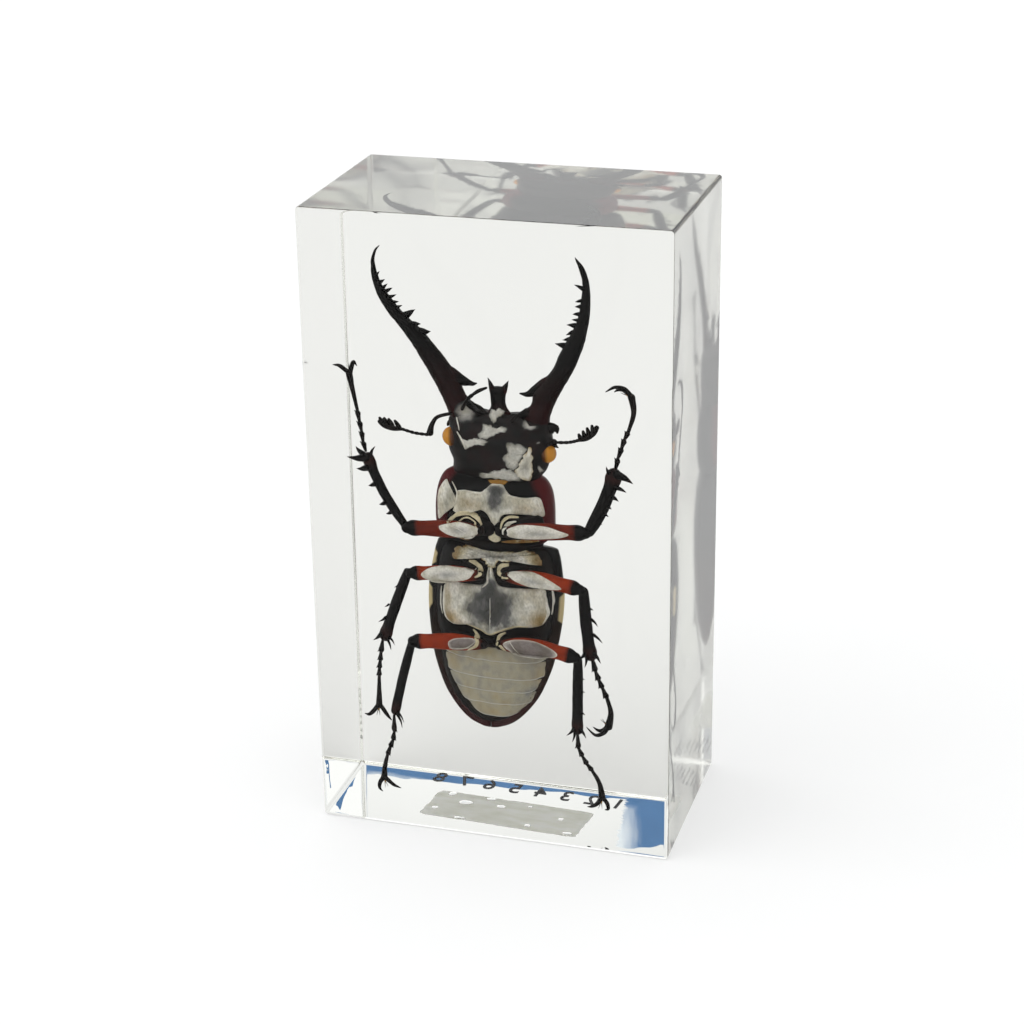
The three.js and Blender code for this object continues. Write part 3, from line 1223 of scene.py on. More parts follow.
fork = Form().blade([
    (-3.6, 72.6, 2.4, 72.6, 0.3), (-2.9, 73.9, 1.6, 73.9, 0.0), (-2.1, 75.2, 0.8, 75.2, -0.3),
    (-2.0, 76.4, 0.5, 76.4, -0.5), (-2.1, 77.6, 0.6, 77.6, -0.6), (-2.2, 78.4, 0.8, 78.4, -0.6),
    (-1.5, 78.9, 0.3, 78.9, -0.6),
], MID_Y - 0.6, flat=0.55)
for root, tip in (((-1.6, 78.2), (-2.45, 80.3)), ((0.2, 78.2), (1.15, 80.1))):
    fork.spike(at(root, MID_Y - 1.2), at(tip, MID_Y - 1.3), 0.62)
fork.rough(0.08, 1.0, 4.0)
make_piece("clypeus_fork", fork, mat_fork, SLOT_DARK)
lobes = Form()
for bumps in (
    [(-6.2, 75.4, 0.9), (-4.4, 74.8, 0.8), (-2.9, 73.8, 0.6)],
    [(1.8, 73.9, 0.5), (3.0, 74.2, 0.5), (4.4, 74.8, 0.8)],
):
    lobes.tube(level(bumps, LIP_Y), [r for _, _, r in bumps])
make_piece("mouth_lobes", lobes.rough(0.15, 0.8, 1.0), mat_black, SLOT_DARK)

palps = Form()
palps.tube([(-6.6, -2.6, 74.9), (-5.6, -3.1, 76.7), (-4.8, -3.2, 77.5)], [0.32, 0.28, 0.34])
palps.tube([(-4.7, -3.2, 77.6), (-3.6, -3.1, 78.4), (-2.3, -3.0, 79.0)], [0.24, 0.33, 0.2])
palps.tube([(1.9, -2.8, 73.6), (2.6, -3.1, 74.4), (2.9, -3.2, 74.8)], [0.34, 0.3, 0.2])
make_piece("maxillary_palps", palps, mat_black, SLOT_DARK)


FEELER_Y = MID_Y - 2.2
SCAPE_RADII = (0.3, 0.32, 0.42, 0.62)


def antenna(scape, funicle, club, leaves):
    """A feeler: a curved scape, a row of beads, and a club whose blunt leaves stand on one side."""
    form = Form()
    form.tube(level(scape, FEELER_Y), SCAPE_RADII[-len(scape):], steps=5)
    beads = spline(level(funicle, FEELER_Y), 3)
    for a, b in zip(beads, beads[1:]):
        a, b = Vector(a), Vector(b)
        form.tube([a, a.lerp(b, 0.6), b], [0.22, 0.31, 0.24], sides=8, steps=2)
    form.tube(level(club, FEELER_Y), [0.28, 0.48, 0.52, 0.42])
    for foot, tip in leaves:
        foot, tip = at(foot, FEELER_Y), at(tip, FEELER_Y)
        form.tube([foot, foot.lerp(tip, 0.5), tip], [0.42, 0.4, 0.27], flat=1.2, sides=10)
    return form


left_antenna = antenna(
    [(-8.8, 73.7), (-11.1, 72.9), (-12.1, 71.5), (-12.5, 70.0)],
    [(-12.8, 69.6), (-15.2, 69.7), (-17.4, 70.2)],
    [(-17.4, 70.2), (-19.0, 70.2), (-20.5, 70.6), (-21.3, 71.2)],
    [((-17.9, 70.5), (-18.6, 71.5)), ((-19.1, 70.7), (-19.7, 71.7)), ((-20.0, 70.9), (-20.5, 71.8)),
     ((-20.8, 71.1), (-21.3, 71.8))],
)
right_antenna = antenna(
    [(8.2, 69.9), (8.9, 70.2)],
    [(8.9, 70.2), (11.4, 70.4), (13.0, 70.9)],
    [(13.0, 70.9), (14.4, 71.4), (15.6, 72.4), (16.2, 73.4)],
    [((13.5, 71.2), (13.2, 71.9)), ((14.2, 71.6), (13.9, 72.5)), ((14.9, 72.1), (14.6, 73.1)),
     ((15.6, 72.7), (15.4, 73.6))],
)
make_piece("antenna_left", left_antenna, mat_foot, SLOT_DARK)
make_piece("antenna_right", right_antenna, mat_foot, SLOT_DARK)


# The eyes' half sizes, and the rings and sides of their mesh.
EYE_SIZE = (1.8, 1.9, 1.75)
EYE_Y = MID_Y - 0.9
EYE_RINGS, EYE_SIDES = 16, 24


def eye_material():
    """Amber eye, darker towards the head and at its very edge, with the finest facets."""
    look = Look("amber_eye")
    tone = look.wobbled(look.attribute("along"), 600, 0.1)
    stops = ((0.3, BLACK), (0.5, AMBER_DARK), (0.66, AMBER), (0.92, AMBER), (1.0, (0.3, 0.1, 0.012)))
    look.set(Base_Color=look.ramp(tone, *stops), Roughness=0.25, Specular_IOR_Level=0.3)
    look.relief(look.cells(9000), 0.2, 0.02)
    return look.material


def eye(x, z, side):
    """A bulging eye, in rings from the head outwards."""
    rings, alongs = [], []
    for k in range(1, EYE_RINGS):
        angle = math.pi * k / EYE_RINGS
        reach, bulge = -math.cos(angle), math.sin(angle)
        rings.append([(
            x + side * reach * EYE_SIZE[0],
            EYE_Y + bulge * math.cos(turn) * EYE_SIZE[1],
            z + bulge * math.sin(turn) * EYE_SIZE[2],
        ) for turn in turns(EYE_SIDES)])
        alongs.append((reach + 1) / 2)
    return Form().skin(rings, alongs)


mat_eye = eye_material()
make_piece("eye_left", eye(-8.8, 69.4, -1), mat_eye, SLOT_RED)
make_piece("eye_right", eye(7.35, 67.9, 1), mat_eye, SLOT_RED)

brows = Form()
for path, radii in (
    ([(-7.4, MID_Y - 0.3, 72.0), (-9.3, MID_Y - 0.4, 71.7), (-9.7, MID_Y - 0.4, 71.2)], [0.9, 0.5, 0.2]),
    ([(6.6, MID_Y - 0.4, 71.8), (8.7, MID_Y - 0.5, 72.3), (9.2, MID_Y - 0.5, 71.6)], [1.3, 0.9, 0.25]),
    ([(6.6, MID_Y - 0.6, 70.0), (8.2, MID_Y - 0.7, 69.7), (9.4, MID_Y - 0.7, 68.9)], [1.1, 0.75, 0.1]),
):
    brows.tube(path, radii, flat=0.8)
make_piece("canthi", brows.rough(0.12, 0.8, 6.0), mat_black, SLOT_DARK)

# ---------------------------------------------------------------- beetle: legs

HIP_Y, THIGH_Y, SHIN_Y, FOOT_Y = MID_Y - 5.4, MID_Y - 6.8, MID_Y - 6.0, MID_Y - 5.0
# Shares of a thigh's and a shin's length, and the half width there over the greatest.
THIGH_SHAPE = ((0.0, 0.55), (0.14, 0.82), (0.32, 1.0), (0.55, 1.0), (0.78, 0.88), (0.92, 0.94), (1.0, 0.66))
SHIN_SHAPE = ((0.0, 0.8), (0.2, 0.95), (0.5, 1.0), (0.8, 1.0))
CLAW_RADII = (0.42, 0.4, 0.3, 0.07)
# The first four joints of a foot are short, and the last is the long one.
SHORT_JOINTS = 4


def femur(hip, knee, half, arch):
    """A thigh: a flattened spindle from the hip to a blunt knee."""
    a, b = at(hip, THIGH_Y + 0.5), at(knee, THIGH_Y + 0.2)
    path, radii = [], []
    for share, size in THIGH_SHAPE:
        path.append(a.lerp(b, share) + Vector((0, 0, arch * math.sin(math.pi * share))))
        radii.append(half * size)
    return Form().tube(path, radii, flat=0.62, sides=20)


def tibia(knee, end, half, bow, flare, thorns):
    """A shin: slim at the knee, flared at the foot, with thorns given as (base, tip, radius)."""
    a, b = at(knee, SHIN_Y), at(end, SHIN_Y + 0.4)
    across = (b - a).cross(FRONT).normalized()
    path, radii = [], []
    for share, size in (*SHIN_SHAPE, (0.93, flare), (1.0, flare * 0.94)):
        path.append(a.lerp(b, share) + across * bow * math.sin(math.pi * share))
        radii.append(half * size)
    form = Form().tube(path, radii, flat=0.7, sides=16, steps=5, ridges=0.05)
    for base, tip, radius in thorns:
        way = Vector((tip[0] - base[0], 0, tip[1] - base[1]))
        bend = Vector((-way.z, 0, way.x)) * 0.06
        form.spike(at(base, SHIN_Y), at(tip, SHIN_Y - 0.2), radius, bend)
    return form.rough(0.05, 1.2, 8.0)


def tarsus(joints, radius, heel, claws, bristle, lean):
    """A foot of four short joints and a long one, with small thorns under them, and two hooked claws.

    joints are (x, z) points, heel is the way the thorns point, and each claw is four (x, z, depth) points.
    bristle is where the pad between the claws ends, and lean is how far the foot leans to the front.
    It returns the foot and the two ends of that pad.
    """
    form = Form()
    last = len(joints) - 1
    points = [at(p, FOOT_Y - lean * k / last) for k, p in enumerate(joints)]
    for a, b in zip(points[:SHORT_JOINTS], points[1:]):
        path = [a, a.lerp(b, 0.5), a.lerp(b, 0.8), b]
        form.tube(path, [radius * 0.5, radius * 0.78, radius, radius * 0.6])
        foot = a.lerp(b, 0.82) + at(heel, 0) * radius * 0.5
        form.spike(foot, b + at(heel, -0.25) * radius * 1.15, radius * 0.42)
    tail = points[SHORT_JOINTS:]
    sizes = [radius * (0.6 + 0.65 * (k / (len(tail) - 1)) ** 1.3) for k in range(len(tail))]
    form.tube(tail, sizes, flat=0.85, steps=6)
    for claw in claws:
        path = [Vector((x, FOOT_Y - lean + dy, z)) for x, z, dy in claw]
        form.tube(path, CLAW_RADII, sides=10, steps=5)
    foot = points[-1]
    pad = Vector((bristle[0] - foot.x, 0, bristle[1] - foot.z))
    for spread in (-0.16, 0.16):
        tip = foot + pad * 1.25 + Vector((pad.z, -1.5, -pad.x)) * spread
        form.spike(foot + pad * 0.35, tip, 0.1)
    return form.rough(0.04, 0.8, 9.0), (foot, foot + pad * 0.6)


def add_leg(
    name, thigh_material, hip, knee, half, arch, shin, thorns, joints, heel, claws, bristle,
    foot_radius=0.5, lean=0.0,
):
    """A whole leg. shin is (knee end, foot end, half width, sideways bow, flare at the foot).

    It returns the thigh's surface, for the films that lie on it.
    """
    thigh = femur(hip, knee, half, arch)
    make_piece(f"{name}_femur", thigh, thigh_material, SLOT_RED)
    joint = Form().tube([at(hip, HIP_Y - 0.6), at(hip, THIGH_Y + 0.6)], [half * 0.6, half * 0.5])
    make_piece(f"{name}_trochanter", joint, mat_black, SLOT_DARK)
    make_piece(f"{name}_tibia", tibia(*shin, thorns), mat_tibia, SLOT_DARK)
    foot, pad = tarsus(joints, foot_radius, heel, claws, bristle, lean)
    make_piece(f"{name}_tarsus", foot, mat_foot, SLOT_DARK)
    make_piece(f"{name}_empodium", Form().tube(pad, [0.28, 0.15], sides=8), mat_amber, SLOT_PALE)
    return thigh.surface()


thighs = {}
thighs["fore_left"] = add_leg(
    "leg_fore_left", mat_fore_femur, (-3.4, 54.2), (-16.2, 53.5), 1.55, 0.1,
    ((-16.7, 53.9), (-22.9, 65.3), 0.88, -0.55, 1.25),
    [((-23.2, 65.4), (-26.5, 65.3), 0.8), ((-23.7, 66.0), (-24.9, 67.3), 0.6),
     ((-23.0, 63.6), (-24.9, 63.3), 0.65), ((-21.9, 60.7), (-22.9, 60.4), 0.45),
     ((-20.3, 57.4), (-21.1, 57.2), 0.4), ((-19.2, 55.8), (-19.9, 55.6), 0.35),
     ((-22.3, 66.1), (-21.4, 67.6), 0.32)],
    [(-23.4, 66.4), (-23.8, 67.9), (-24.0, 69.7), (-24.3, 71.5), (-24.6, 73.4), (-25.3, 77.0),
     (-25.8, 79.8)],
    (-1, 0.2),
    [[(-25.9, 80.0, 0), (-26.8, 80.8, -0.2), (-27.6, 81.2, -0.2), (-28.6, 81.2, 0)],
     [(-25.6, 80.0, 0), (-25.2, 81.4, -0.3), (-24.8, 82.1, -0.4), (-24.3, 81.5, -0.6)]],
    (-25.7, 81.2),
)
thighs["fore_right"] = add_leg(
    "leg_fore_right", mat_fore_femur, (1.2, 54.5), (14.9, 55.7), 1.55, 0.1,
    ((15.5, 55.9), (19.7, 66.2), 1.12, 0.35, 1.2),
    [((20.2, 66.4), (22.9, 65.1), 0.85), ((20.0, 64.2), (21.8, 63.5), 0.5),
     ((19.5, 62.4), (20.5, 61.8), 0.45), ((18.6, 60.7), (19.3, 60.3), 0.4),
     ((17.9, 59.4), (18.8, 58.9), 0.4), ((17.0, 58.0), (17.7, 57.4), 0.35),
     ((18.9, 66.6), (18.4, 67.7), 0.36)],
    [(19.8, 67.0), (20.2, 69.0), (20.8, 70.9), (21.3, 72.4), (21.9, 73.8), (22.8, 77.0), (22.4, 79.8)],
    (-1, 0.3),
    [[(22.3, 80.0, 0), (21.3, 81.1, -0.2), (19.7, 81.3, -0.3), (18.2, 80.4, -0.4)],
     [(22.2, 80.0, 0.3), (21.2, 80.7, 0.7), (20.2, 80.7, 1.0), (19.4, 80.2, 1.1)]],
    (21.0, 80.4),
)
thighs["mid_left"] = add_leg(
    "leg_mid_left", mat_femur, (-3.6, 46.0), (-15.7, 45.2), 1.45, 0.2,
    ((-16.4, 45.2), (-21.0, 32.6), 0.92, 0.1, 1.2),
    [((-20.1, 38.7), (-20.8, 38.3), 0.22), ((-20.7, 36.2), (-22.0, 35.3), 0.3),
     ((-21.6, 33.0), (-23.1, 31.7), 0.42), ((-20.6, 32.2), (-19.9, 30.2), 0.32),
     ((-20.2, 32.6), (-19.2, 31.2), 0.28), ((-18.3, 42.4), (-18.9, 42.1), 0.2)],
    [(-21.6, 31.6), (-22.0, 29.2), (-22.2, 27.6), (-22.4, 26.1), (-22.5, 24.6), (-22.6, 21.6),
     (-22.7, 18.9)],
    (-1, 0.1),
    [[(-22.9, 18.8, 0), (-23.8, 17.6, -0.2), (-24.6, 16.9, -0.2), (-25.4, 16.9, 0)],
     [(-22.4, 18.8, 0), (-21.7, 17.9, -0.2), (-21.0, 16.9, -0.2), (-20.5, 16.2, 0)]],
    (-22.9, 17.3),
)
thighs["mid_right"] = add_leg(
    "leg_mid_right", mat_femur, (1.0, 46.2), (13.9, 45.4), 1.5, 0.5,
    ((14.5, 45.1), (15.6, 33.3), 1.0, 0.15, 1.2),
    [((15.5, 42.0), (16.2, 41.8), 0.25), ((15.9, 40.0), (17.0, 38.9), 0.3),
     ((16.3, 37.2), (17.8, 35.9), 0.32), ((16.2, 33.8), (17.5, 32.1), 0.45),
     ((14.8, 33.6), (13.7, 32.4), 0.4), ((15.0, 32.8), (14.7, 31.0), 0.3)],
    [(15.9, 32.3), (16.4, 30.2), (17.0, 28.6), (17.6, 27.2), (18.4, 25.4), (19.1, 22.7), (18.7, 20.0)],
    (-1, -0.3),
    [[(18.6, 19.9, 0), (17.8, 18.7, -0.2), (16.4, 18.2, -0.3), (14.9, 19.5, -0.3)],
     [(18.5, 20.0, 0.3), (17.7, 19.0, 0.8), (16.8, 18.7, 1.1), (15.8, 19.2, 1.2)]],
    (17.7, 21.0), 0.56,
)
thighs["hind_left"] = add_leg(
    "leg_hind_left", mat_femur, (-3.2, 33.2), (-15.7, 32.4), 1.55, 0.3,
    ((-16.1, 31.9), (-19.6, 18.2), 0.8, 0.15, 1.05),
    [((-18.8, 22.4), (-19.5, 22.3), 0.2), ((-19.2, 17.8), (-18.3, 15.3), 0.3),
     ((-19.0, 18.2), (-18.0, 16.4), 0.25)],
    [(-20.0, 17.1), (-19.9, 14.3), (-20.0, 12.9), (-20.4, 11.7), (-20.8, 10.3), (-21.2, 8.1), (-21.2, 6.3)],
    (1, -0.2),
    [[(-21.4, 6.2, 0), (-22.0, 5.2, -0.2), (-22.1, 4.2, -0.2), (-21.6, 3.5, 0)],
     [(-20.9, 6.2, 0), (-20.1, 5.6, -0.2), (-19.2, 5.0, -0.2), (-18.2, 4.6, 0)]],
    (-20.9, 4.8), lean=5.0,
)
thighs["hind_right"] = add_leg(
    "leg_hind_right", mat_femur, (-0.2, 33.4), (13.1, 32.8), 1.55, 0.7,
    ((13.5, 32.2), (13.3, 18.9), 0.9, 0.0, 1.12),
    [((14.1, 22.4), (14.7, 22.0), 0.22), ((12.8, 19.2), (11.5, 17.7), 0.36),
     ((12.9, 18.6), (12.5, 16.6), 0.3), ((13.9, 19.2), (14.9, 17.6), 0.36),
     ((14.2, 26.4), (14.7, 26.3), 0.18), ((14.2, 28.8), (14.7, 28.7), 0.18)],
    [(13.2, 17.8), (13.4, 15.2), (14.1, 13.7), (14.9, 12.3), (15.8, 11.2), (17.1, 8.9), (17.6, 6.2)],
    (-1, -0.2),
    [[(17.4, 6.1, 0), (16.8, 5.0, -0.2), (15.9, 4.3, -0.2), (15.0, 4.0, 0)],
     [(17.8, 6.1, 0), (18.5, 5.2, -0.2), (18.7, 4.2, -0.2), (18.1, 3.8, 0)]],
    (17.3, 4.4),
)

# Hips: one rounded coxa for each leg, set into the thorax beside the midline.
COXAE = (
    ("coxa_fore_left", (-2.4, 54.3), (-8.0, 55.6), 1.9),
    ("coxa_fore_right", (0.2, 54.3), (6.0, 56.0), 1.9),
    ("coxa_mid_left", (-2.9, 45.9), (-6.4, 47.6), 1.6),
    ("coxa_mid_right", (-0.2, 45.9), (4.0, 47.6), 1.6),
    ("coxa_hind_left", (-2.6, 33.6), (-8.6, 34.2), 1.4),
    ("coxa_hind_right", (-0.9, 33.6), (5.6, 34.2), 1.4),
)
coxa_skins = []
for name, inner_end, outer_end, radius in COXAE:
    near, far = at(inner_end, HIP_Y + 1.1), at(outer_end, HIP_Y + 2.2)
    radii = [radius * 0.75, radius, radius * 0.7]
    hip = Form().tube([near, near.lerp(far, 0.4), far], radii, flat=0.8, sides=20)
    make_piece(name, hip.rough(0.1, 1.2), mat_black, SLOT_DARK)
    coxa_skins.append(hip.surface())

# ---------------------------------------------------------------- air films and rims on the underside

FILM_LIFT = 0.07
HEAD_FILM_LIFT = 0.06
RIM_LIFT = 0.12
THIGH_FILMS = (
    ("mid_left", mat_thigh_film, [
        (-13.8, 45.4), (-12.6, 46.5), (-10.8, 47.1), (-8.9, 47.3), (-5.5, 47.2), (-4.4, 46.7), (-5.4, 45.7),
        (-6.4, 44.9), (-8.6, 44.4), (-10.8, 44.1), (-13.0, 44.5)]),
    ("mid_right", mat_thigh_film, [
        (1.4, 47.0), (2.6, 47.7), (5.6, 47.8), (8.2, 47.0), (10.9, 45.4), (9.2, 44.9), (7.2, 44.8),
        (5.0, 45.0), (2.6, 45.9)]),
    ("fore_left", mat_thigh_film, [
        (-10.4, 54.5), (-9.0, 55.1), (-6.8, 55.5), (-4.2, 55.0), (-3.4, 54.2), (-4.6, 52.9), (-7.0, 52.7),
        (-9.4, 53.4)]),
    ("fore_right", mat_thigh_film, [
        (1.3, 54.9), (3.9, 56.1), (8.2, 56.3), (10.6, 55.8), (12.2, 55.3), (10.6, 54.5), (7.1, 53.9),
        (3.2, 53.5), (1.6, 53.8)]),
    ("hind_left", mat_mauve_film, [
        (-9.2, 33.3), (-7.7, 34.1), (-5.0, 34.3), (-4.1, 33.5), (-4.7, 32.7), (-7.4, 31.9), (-8.9, 32.0)]),
    ("hind_right", mat_mauve_film, [
        (0.4, 33.8), (2.4, 34.9), (5.8, 35.1), (8.6, 34.3), (10.1, 33.2), (9.1, 32.3), (5.8, 32.0),
        (2.4, 32.3)]),
)
for leg, material, outline in THIGH_FILMS:
    make_piece(f"film_thigh_{leg}", patch(outline, [thighs[leg]], FILM_LIFT), material, SLOT_PALE)

jaw_skins = [left_jaw.surface(), right_jaw.surface()]
fork_skin = fork.surface()
HEAD_FILMS = (
    ("cheek", mat_soft_film, [
        (-8.1, 75.0), (-6.6, 76.2), (-5.2, 76.0), (-3.9, 75.0), (-4.4, 73.6), (-5.0, 72.6), (-7.2, 72.3),
        (-8.1, 73.3)]),
    ("middle", mat_pale_film, [
        (-2.8, 72.9), (-1.7, 72.5), (-0.8, 72.2), (0.3, 72.6), (1.3, 72.4), (1.0, 71.6), (-0.4, 71.4),
        (-1.2, 70.5), (-2.4, 70.1), (-4.0, 70.2), (-3.4, 71.6)]),
    ("left", mat_pale_film, [
        (-7.3, 69.7), (-6.3, 69.0), (-5.2, 69.9), (-3.7, 70.2), (-1.9, 69.9), (-2.2, 69.4), (-3.9, 69.0),
        (-5.4, 68.3), (-6.4, 67.9), (-7.0, 68.7)]),
    ("right_upper", mat_pale_film, [
        (0.9, 69.6), (2.2, 70.1), (3.7, 69.7), (4.6, 68.9), (3.9, 67.7), (3.3, 66.4), (2.7, 65.1),
        (1.3, 65.3), (0.4, 66.9), (1.3, 68.3)]),
    ("right_lower", mat_wedge, [
        (5.2, 69.3), (4.4, 68.3), (3.5, 66.7), (2.5, 64.9), (2.6, 63.6), (4.0, 63.2), (5.0, 63.1),
        (5.3, 64.6), (5.4, 67.2)]),
    ("throat", mat_pale_film, [
        (-4.1, 63.9), (-2.8, 63.9), (-1.3, 64.6), (1.0, 65.1), (2.7, 64.8), (3.6, 63.6), (3.4, 62.9),
        (1.7, 62.8), (-1.0, 63.1), (-3.8, 63.1)]),
    ("spot", mat_soft_film, [(6.0, 65.6), (6.6, 66.0), (7.1, 64.9), (6.5, 64.4)]),
    ("jaw_spot", mat_soft_film, [
        (3.4, 73.4), (4.2, 73.6), (5.2, 72.8), (6.2, 72.8), (5.6, 72.0), (4.0, 72.2)]),
    ("eye_spot", mat_pale_film, [(6.2, 70.2), (6.5, 70.2), (6.5, 69.9), (6.2, 69.9)]),
    ("fork_base", mat_pale_film, [
        (-1.9, 75.0), (-1.2, 74.9), (-0.4, 75.2), (0.4, 74.6), (-0.2, 73.8), (-1.2, 73.0), (-2.2, 73.7)]),
)
for name, material, outline in HEAD_FILMS:
    form = patch(outline, [head_skin, fork_skin, *jaw_skins], HEAD_FILM_LIFT, ragged=0.35, seed=4.0)
    make_piece(f"film_head_{name}", form, material, SLOT_PALE)

# Its tone spot places painted grey reflection.
flank = patch([
    (-9.8, 62.0), (-9.3, 61.3), (-8.7, 60.3), (-8.1, 59.2), (-8.3, 58.0), (-9.1, 56.8), (-10.2, 55.8),
    (-11.4, 54.6), (-11.6, 56.7), (-11.5, 59.2), (-10.7, 61.0),
], [pronotum_skin], 0.08, tone=spots((0.4, spot(-9.4, 59.0, 1.2, 3.0))))
make_piece("film_pronotum_left", flank, mat_plate, SLOT_PALE)

# Narrow rims and folds: name, material, width, and their (x, z) path.
prosternum_skin, metasternum_skin = prosternum.surface(), metasternum.surface()
RIMS = (
    ("rim_coxa_fore_left_outer", mat_cream, 0.75, [
        (-9.0, 55.3), (-7.3, 56.4), (-5.5, 56.7), (-4.1, 56.2), (-3.2, 55.1)]),
    ("rim_coxa_fore_left_inner", mat_cream, 0.25, [(-7.3, 55.4), (-5.8, 56.0), (-4.6, 55.6), (-3.8, 54.8)]),
    ("rim_coxa_fore_right_outer", mat_cream, 0.45, [(0.1, 54.6), (0.4, 55.9), (1.5, 56.7), (3.1, 56.8)]),
    ("rim_coxa_fore_right_inner", mat_bright, 0.55, [(0.7, 54.0), (0.9, 55.1), (1.6, 55.8), (2.8, 56.2)]),
    ("rim_coxa_mid_left", mat_cream, 0.7, [
        (-5.8, 48.0), (-4.6, 47.8), (-3.7, 47.2), (-3.4, 46.3), (-4.3, 45.7)]),
    ("rim_coxa_mid_right", mat_cream, 0.7, [
        (1.3, 48.0), (0.0, 47.7), (-0.5, 46.9), (0.1, 46.2), (1.6, 46.2)]),
    ("rim_coxa_hind_left", mat_cream, 0.6, [
        (-5.2, 35.4), (-4.5, 34.6), (-4.1, 33.8), (-4.5, 32.9), (-6.0, 31.8)]),
    ("rim_coxa_hind_right", mat_cream, 0.6, [
        (0.6, 35.5), (-0.5, 34.7), (-0.6, 33.7), (0.2, 33.2), (1.3, 32.0)]),
    ("rim_mesosternum_process", mat_bright, 0.4, [(-2.2, 47.4), (-2.4, 45.6), (-2.5, 44.5), (-3.3, 43.6)]),
    ("rim_metasternum_left", mat_bright, 0.4, [
        (-10.1, 43.2), (-10.6, 41.2), (-10.7, 38.8), (-10.2, 36.8), (-8.7, 35.9)]),
    ("rim_metasternum_left_outer", mat_bright, 0.3, [(-11.1, 42.4), (-11.3, 39.5), (-11.0, 37.3)]),
    ("rim_metasternum_right", mat_bright, 0.4, [
        (7.0, 43.6), (7.4, 42.1), (7.6, 40.5), (7.7, 39.0), (6.9, 37.4)]),
    ("rim_metasternum_right_outer", mat_bright, 0.32, [(8.3, 43.8), (8.5, 41.3), (8.2, 38.8)]),
    ("rim_metasternum_foot", mat_cream, 0.42, [
        (-6.4, 36.3), (-3.9, 35.6), (-2.3, 34.8), (-0.5, 35.6), (2.1, 36.7), (4.6, 36.9)]),
    ("rim_metasternum_suture", mat_bright, 0.16, [(-1.95, 41.8), (-2.0, 38.4), (-2.1, 35.4)]),
    ("rim_prosternum_left", mat_bright, 0.25, [(-7.6, 60.4), (-6.2, 60.6), (-3.6, 60.5), (-2.7, 61.2)]),
    ("rim_prosternum_right", mat_bright, 0.22, [
        (1.2, 60.6), (2.3, 60.3), (4.1, 60.1), (6.1, 60.3), (6.4, 59.3), (6.9, 58.0)]),
    ("rim_pronotum_left", mat_bright, 0.28, [
        (-8.7, 61.8), (-7.8, 60.2), (-7.9, 58.6), (-8.7, 57.3), (-9.8, 56.4)]),
    ("rim_waist", mat_tee, 0.7, [
        (-7.7, 51.6), (-5.9, 51.1), (-2.9, 51.2), (-1.4, 51.0), (0.8, 51.8), (3.4, 52.2), (6.3, 52.4)]),
    ("rim_head_glint_upper", mat_bright, 0.3, [(-7.9, 73.5), (-7.5, 72.3), (-7.2, 71.1)]),
    ("rim_head_glint_lower", mat_bright, 0.35, [(-7.6, 70.8), (-6.8, 69.5), (-6.1, 67.9)]),
    ("fold_thigh_mid_left", mat_bright, 0.22, [(-4.3, 47.0), (-5.3, 45.6), (-6.4, 44.9)]),
    ("fold_thigh_mid_right", mat_bright, 0.2, [(1.4, 46.8), (3.3, 45.8), (7.0, 44.9)]),
    ("fold_thigh_hind_left", mat_bright, 0.16, [(-9.1, 32.1), (-6.2, 32.4), (-4.5, 33.7)]),
    ("fold_thigh_hind_right", mat_bright, 0.16, [(1.7, 34.4), (2.6, 33.2), (3.5, 32.2)]),
    ("fold_thigh_fore_left", mat_bright, 0.16, [(-8.6, 54.9), (-6.6, 54.2), (-5.2, 53.2)]),
    ("fold_thigh_fore_right", mat_bright, 0.16, [(1.6, 54.6), (3.6, 54.2), (6.0, 55.4)]),
)
rim_ground = [
    head_skin, pronotum_skin, thorax_skin, abdomen_skin, prosternum_skin, metasternum_skin,
    *coxa_skins, *thighs.values(),
]
for name, material, width, path in RIMS:
    widths = [width * 0.5] + [width] * (len(path) - 2) + [width * 0.4]
    form = ribbon(path, widths, rim_ground, RIM_LIFT)
    make_piece(name, form.rough(0.05, 0.7, 3.0), material, SLOT_PALE)

# ---------------------------------------------------------------- under the base

LABEL_INSET = 0.04
LABEL_TURN = math.radians(-4.2)
LABEL_HALF = (14.5, 8.0)
LABEL_CORNER = 1.2
LABEL_CORNER_STEPS = 6
LABEL_EDGE_STEP = 0.5
# About how far the label's film has lifted from its edge where it has lifted most.
LABEL_LIFT = 0.6


def label_material():
    """Grey-beige label stock seen through its adhesive, mottled where the glue is thin."""
    look = Look("label_stock")
    stops = ((0.34, (0.86, 0.86, 0.79)), (0.5, (0.95, 0.95, 0.90)), (0.62, (1.0, 1.0, 0.98)))
    body = look.ramp(look.clouds(180, 5, (1, 1.8, 1)), *stops)
    fine = look.clouds(1500, 3)
    look.set(Base_Color=body, Roughness=look.spread(fine, 0.6, 0.85))
    look.relief(fine, 0.2, 0.03)
    return look.material


def label_rim():
    """The label's outline before it is turned: a rounded rectangle whose film has lifted along its edge."""
    rim = []
    for quarter, (sx, sy) in enumerate(((1, 1), (-1, 1), (-1, -1), (1, -1))):
        for step in range(LABEL_CORNER_STEPS + 1):
            angle = math.pi / 2 * (quarter + step / LABEL_CORNER_STEPS)
            x = sx * (LABEL_HALF[0] - LABEL_CORNER) + LABEL_CORNER * math.cos(angle)
            y = sy * (LABEL_HALF[1] - LABEL_CORNER) + LABEL_CORNER * math.sin(angle)
            rim.append(Vector((x, y, 0)))
    dense = []
    for a, b in zip(rim, rim[1:] + rim[:1]):
        count = max(1, round((b - a).length / LABEL_EDGE_STEP))
        dense += [a.lerp(b, k / count) for k in range(count)]
    lifted = [LABEL_LIFT * max(0, noise.noise(p * 0.8) + 0.5 * noise.noise(p * 2.1)) for p in dense]
    return [p - p.normalized() * lift for p, lift in zip(dense, lifted)]


